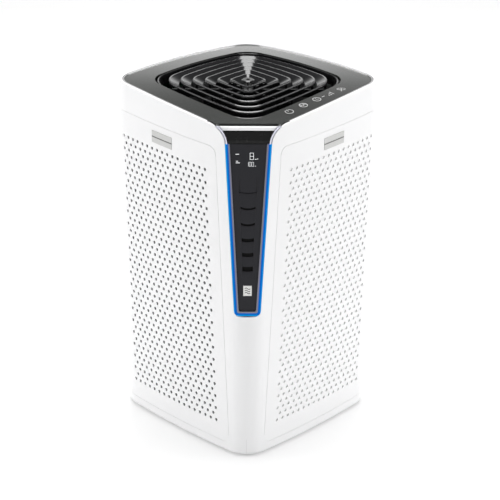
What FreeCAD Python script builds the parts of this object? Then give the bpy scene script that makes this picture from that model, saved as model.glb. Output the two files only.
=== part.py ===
import FreeCAD, Part
# Tower air purifier, in millimetres. Origin: middle of the base, on the floor. +Z up.
# The display strip stands on the corner between the -Y face and the +X face.
import math
import os
import re
import Sketcher
from FreeCAD import Placement, Rotation, Vector

SIZES = {
    # housing
    "foot_gap": 5, "body_height": 605, "half_top": 170, "half_base": 163,
    "bow_radius": 1437, "corner_radius": 43, "wall": 3.5, "lip": 5, "lip_depth": 22,
    # side covers
    "cover_thick": 3, "seam": 0.8, "cover_low": 19, "cover_high": 561, "seam_low": 117,
    "seam_high": 91.5, "cover_round": 14, "wrap_depth": 118, "ledge": 8, "ledge_back": 6,
    # filters
    "pack_left": -126, "pack_right": 80, "pack_low": 42, "pack_high": 530, "pre_front": 149,
    "pre_back": 143, "frame_front": 142, "frame_back": 106, "frame_wall": 3, "rib": 3,
    "rib_first": 56, "rib_step": 80.5, "seal_width": 9, "pleat_pitch": 8, "pleat_thick": 1.6,
    # chassis and decks
    "chamber": 100, "chassis_back": 138, "chassis_wall": 3, "floor_top": 9, "chassis_top": 536,
    "tray_top": 12.6, "foot_place": 116, "deck_low": 388, "deck_thick": 3,
    # fan
    "duct_radius": 97, "duct_wall": 2, "throat_radius": 58, "wheel_radius": 84, "blades": 9,
    "shaft_radius": 4, "bearing_radius": 11, "running_fit": 0.05, "motor_radius": 38,
    "motor_low": 458, "motor_high": 500, "bolt_circle": 26, "screw_radius": 2,
    # roof
    "outlet_half": 125, "outlet_round": 38, "trim_inset": 6.4, "trim_width": 1.5,
    "frame_inset": 8.4, "rings": 6, "ring_first": 23.6, "ring_pitch": 17.1, "blade_run": 14.5,
    "blade_drop": 8.5, "blade_thick": 1.8,
    # display strip
    "strip_low": 268, "strip_shoulder": 572, "strip_half_low": 22.5, "strip_half_high": 38,
    "strip_u_low": 204.1, "strip_u_high": 195.2, "strip_round": 9, "shoulder_round": 28,
    "light_band": 5.2, "bezel_band": 2.6, "bar_u": 180, "bar_height": 18.5,
    "vent_steps": 6, "vent_pitch": 27, "vent_low": 78,
    # rear wall
    "grip_start": -25, "grip_length": 110, "grip_low": 480, "grip_height": 34, "grip_round": 12,
    "grip_fit": 0.4, "grip_wall": 2.4, "socket_y": 55, "socket_z": 40, "socket_wide": 28,
    "socket_high": 22, "socket_flange": 3, "pin_radius": 1.2, "pin_apart": 9,
}

doc = FreeCAD.newDocument("air_purifier")
sheet = doc.addObject("Spreadsheet::Sheet", "sizes")
for row, (alias, value) in enumerate(SIZES.items(), start=1):
    sheet.set(f"A{row}", alias)
    sheet.set(f"B{row}", str(value))
    sheet.setAlias(f"B{row}", alias)
doc.recompute()

subparts = {}
ALL_ROUND = 700.0
DIAGONAL = Vector(1, -1, 0).normalize()
ACROSS = Vector(1, 1, 0).normalize()


def cell(words):
    """An expression with every size name turned into a reference to the sheet."""
    def refer(match):
        name = match.group()
        return f"sizes.{name}" if name in SIZES else name
    return re.sub(r"[A-Za-z_]\w*", refer, str(words))


def size(words):
    """The present value of an expression on the sheet."""
    return float(sheet.evalExpression(cell(words)))


def bind(item, prop, words):
    item.setExpression(prop, cell(words))


def keep(item, label):
    """Registers an object of the document as a sub-part."""
    item.Label = label
    subparts[label] = item
    return item


def keep_shape(shape, label):
    """A sub-part whose shape comes from Part's own functions, sizes read from the sheet."""
    item = doc.addObject("Part::Feature", label)
    item.Shape = shape
    item.Placement = shape.Placement
    return keep(item, label)


def box(name, low, high):
    """A box between two corners, each given as three expressions."""
    item = doc.addObject("Part::Box", name)
    for prop, axis, start, stop in zip(("Length", "Width", "Height"), "xyz", low, high):
        bind(item, prop, f"({stop}) - ({start})")
        bind(item, f"Placement.Base.{axis}", start)
    return item


def cylinder(name, radius, low, high, x="0", y="0"):
    item = doc.addObject("Part::Cylinder", name)
    bind(item, "Radius", radius)
    bind(item, "Height", f"({high}) - ({low})")
    for axis, words in zip("xyz", (x, y, low)):
        bind(item, f"Placement.Base.{axis}", words)
    return item


def cut(name, base, tool):
    item = doc.addObject("Part::Cut", name)
    item.Base = base
    item.Tool = tool
    return item


def fuse(name, items):
    item = doc.addObject("Part::MultiFuse", name)
    item.Shapes = items
    return item


def group(name, items):
    """Like pieces that share one node, kept as separate solids."""
    item = doc.addObject("Part::Compound", name)
    item.Links = items
    return item


def mirrored(source, label):
    """The same piece on the other side of the display corner."""
    item = doc.addObject("Part::Mirroring", label)
    item.Source = source
    item.Base = Vector(0, 0, 0)
    item.Normal = Vector(1, 1, 0)
    return keep(item, label)


def origin_plane(body, role):
    return next(item for item in body.Origin.OriginFeatures if item.Role == role)


def sketch_on(body, name, role, offset="0"):
    sketch = body.newObject("Sketcher::SketchObject", name)
    sketch.AttachmentSupport = [(origin_plane(body, role), "")]
    sketch.MapMode = "FlatFace"
    bind(sketch, "AttachmentOffset.Base.z", offset)
    return sketch


def draw_polygon(sketch, corners):
    """Closed outline through corners given as pairs of expressions, each fixed to the origin."""
    points = [Vector(size(x), size(y), 0) for x, y in corners]
    first = sketch.GeometryCount
    count = len(points)
    for index in range(count):
        sketch.addGeometry(Part.LineSegment(points[index], points[(index + 1) % count]), False)
    for index, (x, y) in enumerate(corners):
        line = first + index
        after = first + (index + 1) % count
        sketch.addConstraint(Sketcher.Constraint("Coincident", line, 2, after, 1))
        for kind, words, value in (("DistanceX", x, points[index].x), ("DistanceY", y, points[index].y)):
            number = sketch.addConstraint(Sketcher.Constraint(kind, -1, 1, line, 1, value))
            sketch.setExpression(f"Constraints[{number}]", cell(words))


def turned(label, profile):
    """A round piece about the fan's axis, from its half section (radius, height)."""
    body = doc.addObject("PartDesign::Body", label)
    sketch = sketch_on(body, f"{label}_section", "XZ_Plane")
    draw_polygon(sketch, profile)
    turn = body.newObject("PartDesign::Revolution", f"{label}_turn")
    turn.Profile = sketch
    turn.ReferenceAxis = (sketch, ["V_Axis"])
    turn.Angle = 360
    return keep(body, label)


# ---- the outline of the tower, and solids bounded by it --------------------------------------

def outline(half, bow, radius, height):
    """Square of four bowed sides with round corners, as a closed wire of eight arcs."""
    shift = bow - half
    middle = (-shift + math.sqrt(2 * (bow - radius) ** 2 - shift ** 2)) / 2
    lean = math.atan2(middle, middle + shift)
    edges = []
    for quarter in range(4):
        turn = Rotation(Vector(0, 0, 1), 90 * quarter)

        def at(centre, reach, angle):
            return turn.multVec(Vector(centre[0] + reach * math.cos(angle),
                                       centre[1] + reach * math.sin(angle), height))
        side = (-shift, 0)
        edges.append(Part.Arc(at(side, bow, -lean), at(side, bow, 0), at(side, bow, lean)).toShape())
        corner = (middle, middle)
        edges.append(Part.Arc(at(corner, radius, lean), at(corner, radius, math.pi / 4),
                              at(corner, radius, math.pi / 2 - lean)).toShape())
    return Part.Wire(edges)


def tower(inset):
    """The whole tapering body, drawn in by an inset."""
    wires = []
    for height, half in ((size("foot_gap"), size("half_base")),
                         (size("foot_gap + body_height") + 10, size("half_top"))):
        wires.append(outline(half - inset, size("bow_radius") - inset,
                             max(size("corner_radius") - inset, 4), height))
    return Part.makeLoft(wires, True, True)


def slab(low, high):
    return Part.makeBox(ALL_ROUND, ALL_ROUND, high - low, Vector(-ALL_ROUND / 2, -ALL_ROUND / 2, low))


def under_roof(depth):
    """Everything below the roof, which is crowned from the display corner to the back corner."""
    crown = size("bow_radius")
    middle = Vector(0, 0, size("foot_gap + body_height") - crown)
    return Part.makeCylinder(crown - depth, ALL_ROUND, middle - ACROSS * (ALL_ROUND / 2), ACROSS)


def roof_layer(top, low, solid):
    """A layer of a solid that follows the roof, between two depths below it."""
    return solid.common(under_roof(top)).cut(under_roof(low))


def cover_region(grow):
    """The stretch of wall that a side cover closes, grown or shrunk all round."""
    low, high = size("cover_low") - grow, size("cover_high") + grow
    slope = (size("seam_low") - size("seam_high")) / (size("cover_high") - size("cover_low"))
    right_low = size("seam_low") + grow + slope * grow
    right_high = size("seam_high") + grow - slope * grow
    left = -ALL_ROUND / 2
    front = -ALL_ROUND / 2
    corners = [Vector(left, front, low), Vector(right_low, front, low),
               Vector(right_high, front, high), Vector(left, front, high), Vector(left, front, low)]
    depth = ALL_ROUND / 2 - size("wrap_depth") + grow
    prism = Part.Face(Part.makePolygon(corners)).extrude(Vector(0, depth, 0))
    rounded = [edge for edge in prism.Edges
               if edge.BoundBox.XMin > 0 and edge.BoundBox.YLength > 1]
    return prism.makeFillet(size("cover_round") + grow, rounded)


def half_space(normal, distance):
    """A large block on the far side of a plane."""
    turn = Rotation(Vector(0, 0, 1), normal)
    block = Part.makeBox(2 * ALL_ROUND, 2 * ALL_ROUND, ALL_ROUND, Vector(-ALL_ROUND, -ALL_ROUND, 0))
    block.Placement = Placement(normal * distance, turn)
    return block


# ---- the plane of the display strip -----------------------------------------------------------

def strip_frame():
    """Placement of the strip: x across it, y up it, z out of the housing."""
    low = DIAGONAL * size("strip_u_low") + Vector(0, 0, size("strip_low"))
    high = DIAGONAL * size("strip_u_high") + Vector(0, 0, size("strip_shoulder"))
    up = (high - low).normalize()
    out = ACROSS.cross(up)
    matrix = FreeCAD.Matrix(ACROSS.x, up.x, out.x, low.x, ACROSS.y, up.y, out.y, low.y,
                            ACROSS.z, up.z, out.z, low.z, 0, 0, 0, 1)
    return Placement(matrix)


def strip_outline(inset, top=None):
    """Half-width of the strip's outline follows the recess: round foot, tapering sides, flared head."""
    reach = size("strip_shoulder - strip_low")
    half_low, half_high = size("strip_half_low") - inset, size("strip_half_high") - inset
    foot_radius = size("strip_round") - min(inset, 6)
    head = size("shoulder_round") + inset
    lean = math.atan2(half_high - half_low, reach - inset)
    knee = foot_radius * (1 - math.sin(lean)) + inset
    foot_x = half_low - foot_radius + foot_radius * math.cos(lean)
    points = {
        "foot": Vector(half_low - foot_radius, inset, 0),
        "foot_mid": Vector(half_low - foot_radius * (1 - math.sqrt(0.5)),
                           inset + foot_radius * (1 - math.sqrt(0.5)), 0),
        "knee": Vector(foot_x, knee, 0),
        "shoulder": Vector(half_high, reach, 0),
    }
    if top is None:
        flare = head * math.sqrt(0.5)
        points["flare_mid"] = Vector(half_high + head - flare, reach + flare, 0)
        points["flare"] = Vector(half_high + head, reach + head, 0)
        points["top"] = Vector(half_high + head, reach + head + 40, 0)

    def flip(point):
        return Vector(-point.x, point.y, 0)
    right = [Part.Arc(points["foot"], points["foot_mid"], points["knee"]).toShape(),
             Part.makeLine(points["knee"], points["shoulder"])]
    if top is None:
        right.append(Part.Arc(points["shoulder"], points["flare_mid"], points["flare"]).toShape())
        right.append(Part.makeLine(points["flare"], points["top"]))
        last = points["top"]
    else:
        last = points["shoulder"]
    left = [edge.mirror(Vector(), Vector(1, 0, 0)) for edge in right]
    edges = right + left
    edges.append(Part.makeLine(flip(last), last))
    edges.append(Part.makeLine(flip(points["foot"]), points["foot"]))
    return Part.Wire(Part.__sortEdges__(edges))


def strip_prism(inset, low, high, top=None):
    """A block of the strip's outline between two depths, placed on the strip's plane."""
    wire = strip_outline(inset, top)
    block = Part.Face(wire).extrude(Vector(0, 0, high - low))
    block.translate(Vector(0, 0, low))
    block.Placement = strip_frame().multiply(block.Placement)
    return block


def strip_block(low, high):
    """A plain block in the strip's own axes, between two corners."""
    block = Part.makeBox(high[0] - low[0], high[1] - low[1], high[2] - low[2], Vector(*low))
    block.Placement = strip_frame().multiply(block.Placement)
    return block


# ---- housing -----------------------------------------------------------------------------------

def make_main_shell():
    """White moulding: band, display column, skirt and the two rear walls."""
    outer = tower(0).common(under_roof(0))
    hollow = tower(size("wall"))
    narrow = tower(size("lip"))
    lip_from = size("foot_gap + body_height - lip_depth - 20")
    shell = outer.cut(hollow.common(slab(-10, lip_from)))
    shell = shell.cut(narrow.common(slab(lip_from, 700)))
    ledge_skin = tower(size("wall") - 0.1).cut(tower(size("ledge_back")))
    for side in (False, True):
        opening = cover_region(0)
        frame = ledge_skin.common(cover_region(6)).cut(cover_region(-size("ledge")))
        if side:
            opening = opening.mirror(Vector(), Vector(1, 1, 0))
            frame = frame.mirror(Vector(), Vector(1, 1, 0))
        shell = shell.cut(opening).fuse(frame)
    shell = shell.cut(strip_prism(0, -40, 60))
    shell = shell.cut(rear_inlet_hole())
    for direction in (False, True):
        shell = shell.cut(grip_hole(direction))
    keep_shape(shell.removeSplitter(), "main_shell")


def wall_block(start, length, low, height, deep, edge):
    """A block through the rear -X wall, its four long edges rounded."""
    block = Part.makeBox(deep, length, height, Vector(-ALL_ROUND / 4 - deep / 2, start, low))
    if edge == 0:
        return block
    return block.makeFillet(edge, [line for line in block.Edges if line.BoundBox.XLength > deep / 2])


def rear_inlet_hole():
    """Opening for the mains socket, low in the rear -X wall."""
    gap = 0.3
    wide, high = size("socket_wide") + 2 * gap, size("socket_high") + 2 * gap
    return wall_block(size("socket_y") - wide / 2, wide, size("socket_z") - high / 2, high, 50, 0)


def grip_block(inset, deep):
    """A block of a grip opening's outline, made smaller all round."""
    return wall_block(size("grip_start") + inset, size("grip_length") - 2 * inset, size("grip_low") + inset,
                      size("grip_height") - 2 * inset, deep, size("grip_round") - inset)


def grip_hole(mirror):
    """Opening for a carrying grip, high in a rear wall."""
    hole = grip_block(0, 40)
    return hole.mirror(Vector(), Vector(1, 1, 0)) if mirror else hole


def make_grips():
    """Cups that line the two grip openings, held in the rear walls."""
    fit, wall = size("grip_fit"), size("grip_wall")
    cup = grip_block(fit, 60).common(tower(fit))
    floor = 148
    cup = cup.cut(half_space(Vector(1, 0, 0), -floor))
    hollow = grip_block(fit + wall, 60).cut(half_space(Vector(1, 0, 0), -floor - 4))
    cup = cup.cut(hollow)
    keep_shape(cup, "rear_grip_left")
    keep_shape(cup.mirror(Vector(), Vector(1, 1, 0)), "rear_grip_right")


def make_base():
    """Base tray, its rubber feet and screws."""
    top = size("tray_top")
    tray = tower(size("wall") + 0.4).common(slab(6, top)).cut(tower(7.5).common(slab(9, top + 1)))
    for x, y in screw_places():
        tray = tray.cut(Part.makeCylinder(size("screw_radius") + 0.2, 10, Vector(x, y, 3)))
    keep_shape(tray, "base_tray")
    feet = []
    for index, (x, y) in enumerate(((1, 1), (1, -1), (-1, 1), (-1, -1))):
        feet.append(cylinder(f"foot_{index}", "12", "0", "6", f"{x} * foot_place", f"{y} * foot_place"))
    keep(group("feet", feet), "rubber_feet")
    screws = []
    for index, (x, y) in enumerate(screw_places()):
        head = cylinder(f"base_head_{index}", "4", "3.8", "6", str(x), str(y))
        shank = cylinder(f"base_shank_{index}", "screw_radius", "5.9", "floor_top + 10", str(x), str(y))
        screws.append(fuse(f"base_screw_{index}", [head, shank]))
    keep(group("base_screw_set", screws), "base_screws")


def screw_places():
    near, far = size("chamber") - 6, size("chassis_back") - 9
    return ((near, -near), (near, far), (-far, -near), (-far, far))


# ---- side covers -------------------------------------------------------------------------------

def make_left_cover():
    """Side cover: skin flush with the housing, wrapped round the far corner, with a stiff edge."""
    skin = tower(0).cut(tower(size("cover_thick")))
    cover = skin.common(cover_region(-size("seam")))
    keep_shape(cover, "left_cover")
    plate = Part.makeBox(48, 12, 21, Vector(-56, -176, 528))
    plate = plate.common(tower(-0.8)).cut(tower(0))
    keep_shape(plate, "left_plate")


def make_magnets():
    """Magnets glued behind the cover, and the steel strikes that they hold to on the ledge."""
    magnets, strikes = [], []
    skin = tower(size("cover_thick")).cut(tower(size("cover_thick") + 2.2))
    strike_skin = tower(size("ledge_back")).cut(tower(size("ledge_back") + 1))
    for x, z, strike_low in ((-100, 546, 541), (40, 546, 541), (-100, 34, 21), (60, 34, 21)):
        block = Part.makeBox(16, 40, 6, Vector(x, -180, z - 3))
        magnets.append(skin.common(block))
        strikes.append(strike_skin.common(Part.makeBox(16, 40, 20, Vector(x, -180, strike_low))))
    return magnets, strikes


# ---- filters -----------------------------------------------------------------------------------

def ring_box(label, low_y, high_y, edge):
    """Rectangular frame of the filter's outline between two depths behind the cover."""
    body = doc.addObject("PartDesign::Body", label)
    sketch = sketch_on(body, f"{label}_outline", "XZ_Plane", low_y)
    outer = [("pack_left", "pack_low"), ("pack_right", "pack_low"),
             ("pack_right", "pack_high"), ("pack_left", "pack_high")]
    inner = [(f"pack_left + {edge}", f"pack_low + {edge}"), (f"pack_right - {edge}", f"pack_low + {edge}"),
             (f"pack_right - {edge}", f"pack_high - {edge}"), (f"pack_left + {edge}", f"pack_high - {edge}")]
    draw_polygon(sketch, outer)
    draw_polygon(sketch, inner)
    pad = body.newObject("PartDesign::Pad", f"{label}_pad")
    pad.Profile = sketch
    bind(pad, "Length", f"({high_y}) - ({low_y})")
    return body


def make_left_filters():
    """Washable pre-filter and pleated main filter behind the left cover."""
    frame = ring_box("pre_frame", "pre_back", "pre_front", "8")
    bars = []
    for index in range(6):
        level = f"rib_first + {index} * rib_step"
        bars.append(box(f"pre_bar_{index}", ("pack_left + 7", "-pre_front + 1", f"{level} + 1"),
                        ("pack_right - 7", "-pre_back - 1", f"{level} + 1 + rib")))
    for index in range(1, 4):
        place = f"pack_left + 53 * {index} - 6"
        bars.append(box(f"pre_post_{index}", (place, "-pre_front + 1", "pack_low + 7"),
                        (f"{place} + rib", "-pre_back - 1", "pack_high - 7")))
    keep(fuse("pre_lattice", [frame] + bars), "left_prefilter")
    net = box("left_net", ("pack_left + 8.2", "-pre_back - 0.9", "pack_low + 8.2"),
              ("pack_right - 8.2", "-pre_back - 0.3", "pack_high - 8.2"))
    keep(net, "left_prefilter_net")
    keep(ring_box("left_case", "frame_back", "frame_front", "frame_wall"), "left_filter_case")
    keep(ring_box("left_foam", "chamber + chassis_wall + 0.3", "frame_back", "seal_width"),
         "left_filter_seal")
    keep_shape(pleated_block(), "left_filter_pleats")
    tab = box("left_tab", ("-38", "-frame_front - 0.6", "pack_high - 34"),
              ("-8", "-frame_front", "pack_high - 2"))
    keep(tab, "left_pull_tab")


def pleated_block():
    """Filter paper folded into upright pleats across the case."""
    left = size("pack_left + frame_wall") + 0.4
    right = size("pack_right - frame_wall") - 0.4
    folds = int((right - left) / size("pleat_pitch"))
    step = (right - left) / folds
    depth = size("frame_front - frame_back")
    thick = size("pleat_thick") * math.hypot(depth, step) / step
    front, back = -size("frame_front") + 1.5, -size("frame_back") - 1.5 - thick
    zigzag = [(left + index * step, front if index % 2 else back) for index in range(folds + 1)]
    path = [Vector(x, y, 0) for x, y in zigzag]
    path += [Vector(x, y + thick, 0) for x, y in reversed(zigzag)]
    path.append(path[0])
    pleats = Part.Face(Part.makePolygon(path))
    low, high = size("pack_low + frame_wall") + 0.4, size("pack_high - frame_wall") - 0.4
    pleats.translate(Vector(0, 0, low))
    return pleats.extrude(Vector(0, 0, high - low))


# ---- chassis and decks -------------------------------------------------------------------------

def make_chassis():
    """Inner box with windows to the filters, posts for the base screws, and the deck below the fan."""
    walls = cut("chassis_walls",
                box("chassis_outer", ("-chassis_back", "-chamber - chassis_wall", "floor_top"),
                    ("chamber + chassis_wall", "chassis_back", "chassis_top")),
                box("chassis_inner", ("-chassis_back + chassis_wall", "-chamber", "floor_top - 1"),
                    ("chamber", "chassis_back - chassis_wall", "chassis_top + 1")))
    window = box("window", ("pack_left + 14", "-chamber - 10", "pack_low + 14"),
                 ("pack_right - 14", "-chamber + 5", "pack_high - 14"))
    other = doc.addObject("Part::Mirroring", "window_mirror")
    other.Source = window
    other.Normal = Vector(1, 1, 0)
    solids, holes = [walls], [window, other]
    for index, (x, y) in enumerate(screw_places()):
        solids.append(cylinder(f"post_{index}", "6.5", "floor_top", "floor_top + 16", str(x), str(y)))
        holes.append(cylinder(f"post_hole_{index}", "screw_radius + 0.2", "floor_top - 1",
                              "floor_top + 12", str(x), str(y)))
    keep(cut("chassis_cut", fuse("chassis_solid", solids), fuse("chassis_holes", holes)),
         "inner_chassis")
    plate = box("deck_plate", ("-chassis_back + chassis_wall", "-chamber", "deck_low"),
                ("chamber", "chassis_back - chassis_wall", "deck_low + deck_thick"))
    high = "deck_low + deck_thick"
    cross = fuse("deck_cross", [
        cylinder("deck_disc", "duct_radius + 11", "deck_low", high),
        box("deck_arm_x", ("-chassis_back", "-30", "deck_low"), ("chamber", "30", high)),
        box("deck_arm_y", ("-30", "-chamber", "deck_low"), ("30", "chassis_back", high))])
    deck = doc.addObject("Part::MultiCommon", "deck_common")
    deck.Shapes = [plate, cross]
    hole = cylinder("deck_hole", "70", "deck_low - 1", f"{high} + 1")
    keep(cut("deck_cut", deck, hole), "fan_deck")


def make_guides():
    """Shelf and rails, fixed to the chassis, that the left filter slides into."""
    back = "-chamber - chassis_wall"
    shelf = fuse("guide_frame", [
        box("shelf_low", ("pack_left - 3", "-pre_front", "pack_low - 3.5"),
            ("pack_right + 3", back, "pack_low - 0.5")),
        box("shelf_high", ("pack_left - 3", "-pre_front", "pack_high + 0.5"),
            ("pack_right + 3", back, "pack_high + 3.5")),
        box("rail_left", ("pack_left - 3", "-frame_front", "pack_low - 3.5"),
            ("pack_left - 0.6", back, "pack_high + 3.5")),
        box("rail_right", ("pack_right + 0.6", "-frame_front", "pack_low - 3.5"),
            ("pack_right + 3", back, "pack_high + 3.5"))])
    keep(shelf, "left_guides")


def make_upper_deck():
    """Plate that closes the filter bay below the outlet."""
    top = size("chassis_top")
    deck = tower(size("ledge_back") + 0.8).common(slab(top + 0.2, top + 3.2))
    deck = deck.cut(Part.makeCylinder(size("duct_radius + duct_wall") + 0.5, 10, Vector(0, 0, top - 3)))
    deck = deck.cut(strip_prism(-1.5, -14, 60))
    keep_shape(biggest(deck), "upper_deck")


# ---- fan ---------------------------------------------------------------------------------------

def make_duct():
    """Round duct about the fan, and the funnel from it to the square outlet."""
    inner, wall = size("duct_radius"), size("duct_wall")
    low, deck, high = size("deck_low + deck_thick") + 0.3, size("chassis_top") + 3.4, 574
    tube = Part.makeCylinder(inner + wall, deck + 2 - low, Vector(0, 0, low))
    flange = Part.makeCylinder(inner + 12, 2, Vector(0, 0, deck))

    def funnel(extra, start, stop):
        lower = outline(inner + extra, inner * 1.3, inner * 0.9, start)
        upper = outline(size("outlet_half") - 9 + extra, 900, size("outlet_round") - 8 + extra, stop)
        return Part.makeLoft([lower, upper], True, True)
    bore = Part.makeCylinder(inner, deck + 4 - low, Vector(0, 0, low - 1))
    keep_shape(tube.fuse(flange).cut(bore).removeSplitter(), "air_duct")
    start = deck + 2.2
    outlet = funnel(wall, start, high).cut(funnel(0, start - 0.01, high + 0.01))
    keep_shape(outlet, "outlet_funnel")


def make_inlet_ring():
    lip = "throat_radius + 2.5"
    turned("inlet_ring", [("84", "deck_low - 2.6"), ("84", "deck_low - 0.2"), ("68", "deck_low - 0.2"),
                          (lip, "deck_low + 6"), (lip, "deck_low + 12"), ("throat_radius", "deck_low + 12"),
                          ("throat_radius", "deck_low + 5"), ("66", "deck_low - 2.6")])


def lathe(profile):
    """A solid of revolution about the fan's axis."""
    points = [Vector(x, 0, z) for x, z in profile]
    points.append(points[0])
    return Part.Face(Part.makePolygon(points)).revolve(Vector(), Vector(0, 0, 1), 360)


def make_impeller():
    """Mixed-flow wheel: hub cone, swept blades and a shroud round the inlet."""
    low, outer = size("deck_low"), size("wheel_radius")
    bore = size("shaft_radius + running_fit")
    hub = lathe([(bore, low + 36), (13, low + 36), (34, low + 57), (outer, low + 62),
                 (outer, low + 64.5), (33, low + 60.5), (12, low + 52), (bore, low + 52)])
    shroud = lathe([(62, low + 8), (64, low + 8), (64, low + 14), (outer, low + 22),
                    (outer, low + 24), (63.5, low + 16.2), (62, low + 16)])
    passage = lathe([(40, low + 16), (63, low + 16), (outer, low + 23.5),
                     (outer, low + 63), (40, low + 58.5)])
    blade = swept_blade(40, outer + 4).common(passage)
    wheel = hub.fuse(shroud)
    count = int(size("blades"))
    for index in range(count):
        copy = blade.copy()
        copy.rotate(Vector(), Vector(0, 0, 1), 360.0 * index / count)
        wheel = wheel.fuse(copy)
    keep_shape(wheel, "impeller")


def swept_blade(inner, outer):
    """Backward-swept blade: a curved strip that rises the height of the wheel."""
    def at(radius, degrees):
        angle = math.radians(degrees)
        return Vector(radius * math.cos(angle), radius * math.sin(angle), size("deck_low"))
    middle = (inner + outer) / 2
    front = Part.Arc(at(inner, 0), at(middle, -20), at(outer, -32)).toShape()
    back = Part.Arc(at(inner, 3), at(middle, -17.6), at(outer, -30.6)).toShape()
    ends = [Part.makeLine(at(inner, 0), at(inner, 3)), Part.makeLine(at(outer, -32), at(outer, -30.6))]
    face = Part.Face(Part.Wire(Part.__sortEdges__([front, back] + ends)))
    return face.extrude(Vector(0, 0, 80))


def make_motor():
    """Motor with its two bearings, the shaft and the bracket that hangs it in the duct."""
    bore = "bearing_radius + running_fit"
    turned("motor_case", [(bore, "motor_low"), ("motor_radius - 8", "motor_low"),
                          ("motor_radius", "motor_low + 7"), ("motor_radius", "motor_high"),
                          (bore, "motor_high")])
    pair = []
    for name, level in (("low", "motor_low + 1"), ("high", "motor_high - 9")):
        pair.append(cut(f"bearing_{name}",
                        cylinder(f"race_{name}", "bearing_radius", level, f"{level} + 7"),
                        cylinder(f"race_bore_{name}", "shaft_radius + running_fit", f"{level} - 1",
                                 f"{level} + 8")))
    keep(group("bearing_pair", pair), "motor_bearings")
    keep(cylinder("shaft", "shaft_radius", "deck_low + 36", "motor_high - 1"), "motor_shaft")
    solids = [cylinder("bracket_disc", "motor_radius + 2", "motor_high + 0.2", "motor_high + 4.2")]
    reach = "duct_radius - 0.4"
    solids.append(box("arm_x", (f"-({reach})", "-7", "motor_high + 0.2"), (reach, "7", "motor_high + 4.2")))
    solids.append(box("arm_y", ("-7", f"-({reach})", "motor_high + 0.2"), ("7", reach, "motor_high + 4.2")))
    bracket = doc.addObject("Part::MultiCommon", "bracket_round")
    bracket.Shapes = [fuse("bracket_cross", solids),
                      cylinder("bracket_reach", reach, "motor_high", "motor_high + 5")]
    holes, screws = [], []
    for index in range(4):
        x = f"bolt_circle * cos({45 + 90 * index} deg)"
        y = f"bolt_circle * sin({45 + 90 * index} deg)"
        holes.append(cylinder(f"bolt_hole_{index}", "screw_radius + 0.2", "motor_high - 12",
                              "motor_high + 5", x, y))
        head = cylinder(f"bolt_head_{index}", "3.6", "motor_high + 4.2", "motor_high + 6.8", x, y)
        shank = cylinder(f"bolt_shank_{index}", "screw_radius", "motor_high - 10", "motor_high + 4.3", x, y)
        screws.append(fuse(f"bolt_{index}", [head, shank]))
    drill = fuse("bolt_holes", holes)
    case = subparts["motor_case"]
    case.Label = "motor_case_blank"
    keep(cut("motor_case_drilled", case, drill), "motor_case")
    keep(cut("bracket_drilled", bracket, drill), "motor_bracket")
    keep(group("bolt_set", screws), "motor_screws")


# ---- roof --------------------------------------------------------------------------------------

def make_roof():
    """Dark top frame, the bright trim round it and the bright bar at the display corner."""
    bar_cut = half_space(DIAGONAL, size("bar_u") - 0.2)
    outlet = Part.Face(outline(size("outlet_half"), 900, size("outlet_round"), 500)).extrude(
        Vector(0, 0, 200))
    frame = roof_layer(1.5, 6.5, tower(size("frame_inset"))).cut(outlet).cut(bar_cut)
    frame = frame.cut(strip_prism(4.2, -60, 60).cut(half_space(-DIAGONAL, -size("bar_u") + 8)))
    keep_shape(biggest(frame), "top_frame")
    near_strip = strip_prism(-0.4, -60, 60)
    trim = tower(size("trim_inset")).cut(tower(size("trim_inset + trim_width")))
    trim = roof_layer(0.6, 6.5, trim).cut(near_strip)
    keep_shape(biggest(trim), "trim_ring")
    bar = Part.Face(Part.makePolygon(bar_section())).extrude(ACROSS * 120)
    bar = bar.common(strip_prism(4.2, -60, 60)).common(under_roof(1.5)).common(tower(5.5))
    keep_shape(biggest(bar), "corner_bar")


def bar_section():
    """Section of the corner bar, leaning back from the strip to the roof."""
    u = size("bar_u")
    top = size("foot_gap + body_height")
    start = -ACROSS * 60
    low, lean, lip = top - size("bar_height"), 5, 2.5
    points = [(u, top), (u, low), (u + lean, low), (u + lean, low + lip), (u + 0.5, top - 6), (u, top)]
    return [start + DIAGONAL * a + Vector(0, 0, b) for a, b in points]


def biggest(shape):
    """The main solid of a cut, without slivers."""
    return max(shape.Solids, key=lambda solid: solid.Volume)


def crowned(half, radius, level):
    """A round-cornered square that follows the crown of the roof, as a smooth closed curve."""
    crown = size("bow_radius")
    points = []
    for edge in outline(half, 900, radius, 0).Edges:
        for point in edge.discretize(4)[:-1]:
            along = point.dot(DIAGONAL)
            points.append(Vector(point.x, point.y, level - along * along / (2 * crown)))
    curve = Part.BSplineCurve()
    curve.interpolate(points, PeriodicFlag=True)
    return Part.Wire(curve.toShape())


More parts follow.
